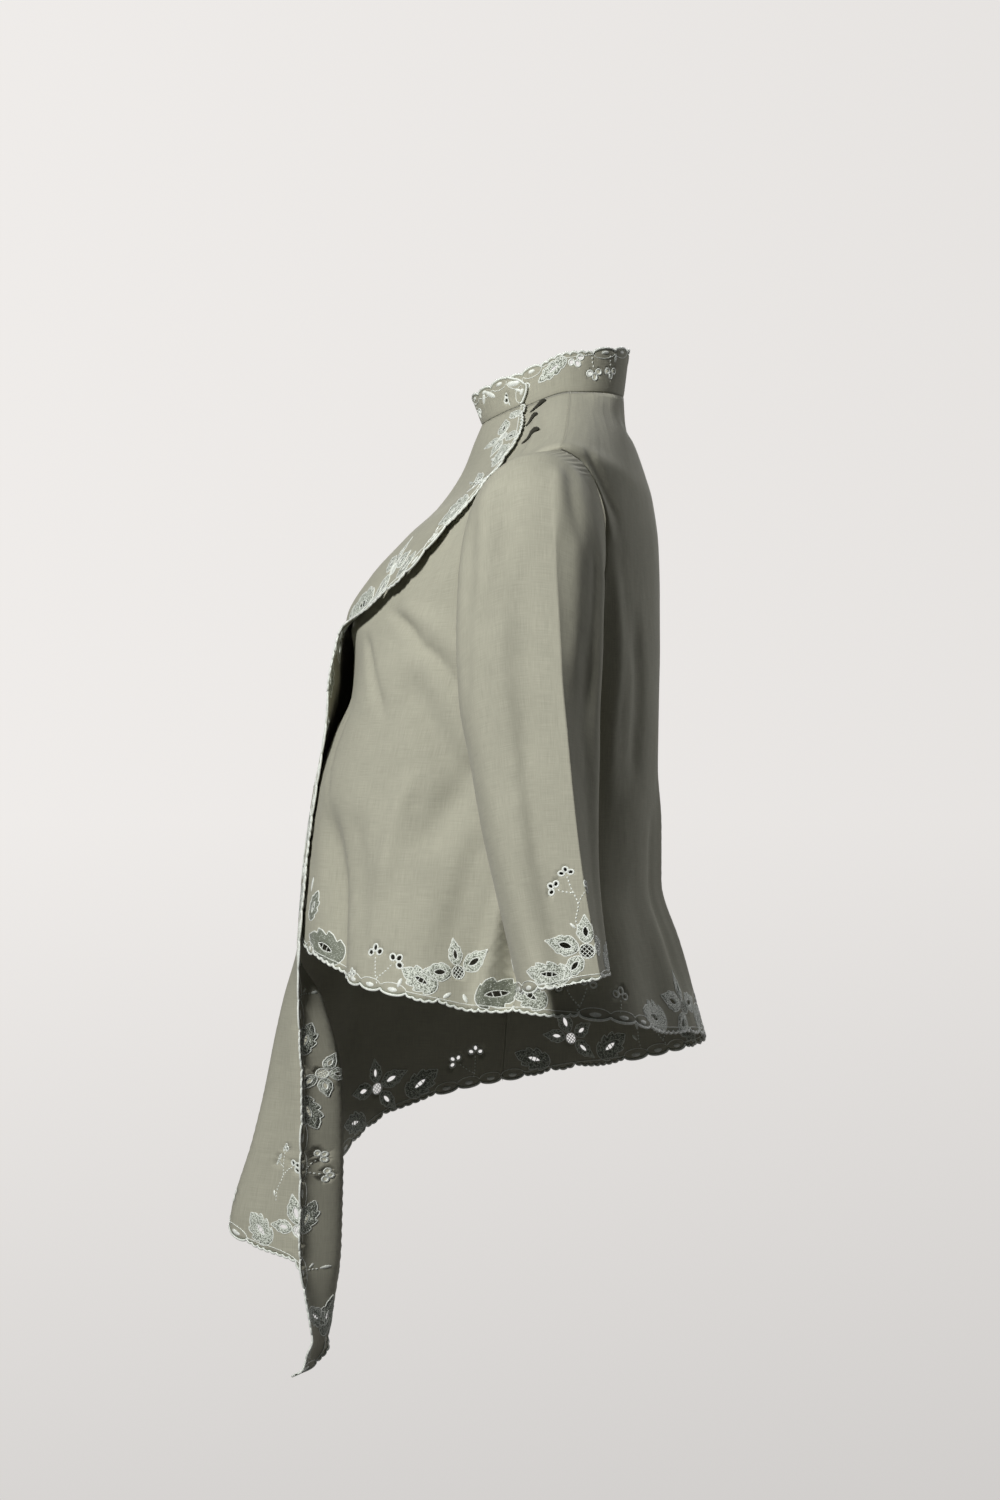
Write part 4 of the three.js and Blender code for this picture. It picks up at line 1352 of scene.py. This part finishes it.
def collar_pieces():
    scale = SHEET_SCALE["collar"][0]

    def end_angle(share):
        low = mix(COLLAR["end_low"], COLLAR["end_middle"], ease(0, 0.5, share))
        return mix(low, COLLAR["end_top"], ease(0.5, 1, share))

    angles = np.linspace(COLLAR["start"], COLLAR["end_low"], 300)
    base = line(angles, COLLAR_HEIGHT, scale)
    downs = np.linspace(COLLAR_HEIGHT, 0, 20)
    end = line(end_angle(1 - downs / COLLAR_HEIGHT), downs, scale)
    top = line(np.linspace(COLLAR["end_top"], COLLAR["start"], 300), 0, scale)
    start = line(np.full(12, float(COLLAR["start"])), np.linspace(0, COLLAR_HEIGHT, 12), scale)
    panel = Panel("collar", collar_sheet, scale, [], [(base, -0.4)])
    free = Trim("edge", Border(panel, np.concatenate([end, top[1:]]), -1, smooth=5), COLLAR_MOTIFS, COLLAR_CLOTH, 20)
    outline = joined(base, free.outline(), start)
    return sewn(panel, outline, [free], offsets(base, SEAM_ROWS, -1), COLLAR_CLOTH, "collar_cotton", 3.0)


# Three dark loops beside the free edge. Each is a stroke on the left front, thin at its lower end and
# thick at its upper one, from one place (angle, down) to another.
LOOPS = (("loop_1", (63.8, 13.5), (73.4, 3), 7.6), ("loop_2", (62.8, 26), (69.8, 18.5), 7.0),
         ("loop_3", (64, 42.5), (74.2, 36.5), 8.4))


LOOP_POINTS, LOOP_SIDES = 15, 10


def loop_piece(name, start, end, width, panel):
    """A loop of dark thread, wound thicker toward its upper end."""
    share = np.linspace(0, 1, LOOP_POINTS)[:, None]
    start, end = (np.array((angle * BODY, down)) for angle, down in (start, end))
    sheet = mix(start, end, share) + np.array((0, 1.2)) * np.sin(np.pi * share)
    places = panel.place(sheet, np.full(LOOP_POINTS, 0.9))
    normals = panel.normals(sheet, panel.creased)
    ahead = unit(np.gradient(places, axis=0))
    aside = np.cross(normals, ahead)
    blunt = np.minimum(1, 3 * np.sqrt(np.clip(1 - share, 0, 1)))
    size = width / 2 * blunt * (0.12 + 0.88 * share) * (share > 0) * (share < 1)
    turn = np.linspace(0, 2 * np.pi, LOOP_SIDES + 1)
    ring = aside[:, None] * np.cos(turn)[:, None] + normals[:, None] * np.sin(turn)[:, None] * 0.5
    tube = places[:, None] + ring * size[:, None]
    run = run_along(places)
    work = bmesh.new()
    stitch = work.verts.layers.float_vector.new("stitch")
    grid = bmesh.ops.create_grid(work, x_segments=LOOP_SIDES, y_segments=LOOP_POINTS - 1, size=1)
    runs, turns = np.repeat(run, LOOP_SIDES + 1), np.tile(turn, LOOP_POINTS)
    for vert, place, r, a in zip(grid["verts"], tube.reshape(-1, 3) * MM, runs, turns):
        vert.co = place
        vert[stitch] = (r, a, 0)
    bmesh.ops.remove_doubles(work, verts=work.verts, dist=1e-6)
    bmesh.ops.recalc_face_normals(work, faces=work.faces)
    piece = bpy.data.objects.new(name + "_cord", smooth_mesh(name + "_cord", work))
    return add(piece, "dark_cord", dark, name)


left_panel, front_l = left_front_pieces()
front_r = right_front_pieces()
back_all = back_pieces()
sleeve_l = sleeve_pieces()
sleeve_r = mirrored(sleeve_l)
collar_all = collar_pieces()
for row in LOOPS:
    loop_piece(*row, left_panel)


def cut(pieces, width, length, area, *hung_from):
    """Splits a panel's pieces into its cloth and its embroidery, and does nothing more. The size that the panel was
    cut to, in metres, and the panels that it hangs from are not used.
    """
    cloth, *trimmings = pieces


cut(back_all, 0.60, 0.71, 0.228)
cut(front_l, 0.40, 0.66, 0.138, back_all)
cut(front_r, 0.54, 0.95, 0.246, back_all, front_l)
cut(sleeve_l, 0.42, 0.46, 0.121, front_l, back_all)
cut(sleeve_r, 0.42, 0.46, 0.121, front_r, back_all)
cut(collar_all, 0.45, 0.04, 0.0138, front_l, front_r, back_all)

# ---------------------------------------------------------------- light and floor


def area_light(name, place, target, size, energy, spread):
    lamp = bpy.data.lights.new(name, "AREA")
    lamp.spread = np.radians(spread)
    lamp.size = size
    lamp.energy = energy
    thing = bpy.data.objects.new(name, lamp)
    thing.location = place
    thing.rotation_euler = (Vector(target) - Vector(place)).to_track_quat("-Z", "Y").to_euler()
    bpy.context.scene.collection.objects.link(thing)


area_light("key", (2.46, -1.60, 1.45), (0, 0, -0.35), 0.6, 37, 100)
area_light("far fill", (-2.9, 0.2, 0.8), (0, 0, -0.35), 1.6, 50, 180)
area_light("back fill", (-1.9, 2.35, 0.3), (0, 0, -0.35), 1.4, 24, 180)
area_light("top fill", (0.2, 1.7, 2.3), (0, 0, -0.2), 1.0, 7, 180)

world = bpy.data.worlds.new("studio")
bpy.context.scene.world = world
world.use_nodes = True
nodes = Nodes(world.node_tree)
dim = nodes.tree.nodes["Background"]
dim.inputs["Color"].default_value = (0.9, 0.92, 0.95, 1)
dim.inputs["Strength"].default_value = 0.02
way = nodes.add("SeparateXYZ", {0: nodes.add("TexCoord").outputs["Generated"]})
across = nodes.ranged(way.outputs["Y"], -0.14, 0.14, 1.04, 0.96)
upward = nodes.ranged(way.outputs["Z"], -0.21, -0.02, 0.79, 1.0)
pale = nodes.add("Background", {"Color": (0.83, 0.806, 0.787, 1), "Strength": nodes.sum(across, upward, "MULTIPLY")})
choice = nodes.add("MixShader", {
    "Fac": nodes.add("LightPath").outputs["Is Camera Ray"],
    1: dim.outputs["Background"], 2: pale.outputs["Background"]})
nodes.tree.links.new(choice.outputs["Shader"], nodes.tree.nodes["World Output"].inputs["Surface"])

FLOOR_RADIUS, FLOOR_HEIGHT = 2.2, -1.4

floor_mesh = bpy.data.meshes.new("floor")
floor_work = bmesh.new()
bmesh.ops.create_circle(floor_work, cap_ends=True, segments=96, radius=FLOOR_RADIUS)
bmesh.ops.translate(floor_work, verts=floor_work.verts, vec=(0, 0, FLOOR_HEIGHT))
floor_work.to_mesh(floor_mesh)
floor_work.free()
floor = bpy.data.objects.new("floor", floor_mesh)
floor_mesh.materials.append(plaster("floor", (0.24, 0.236, 0.232), (0.48, 0.465, 0.45)))
bpy.context.scene.collection.objects.link(floor)
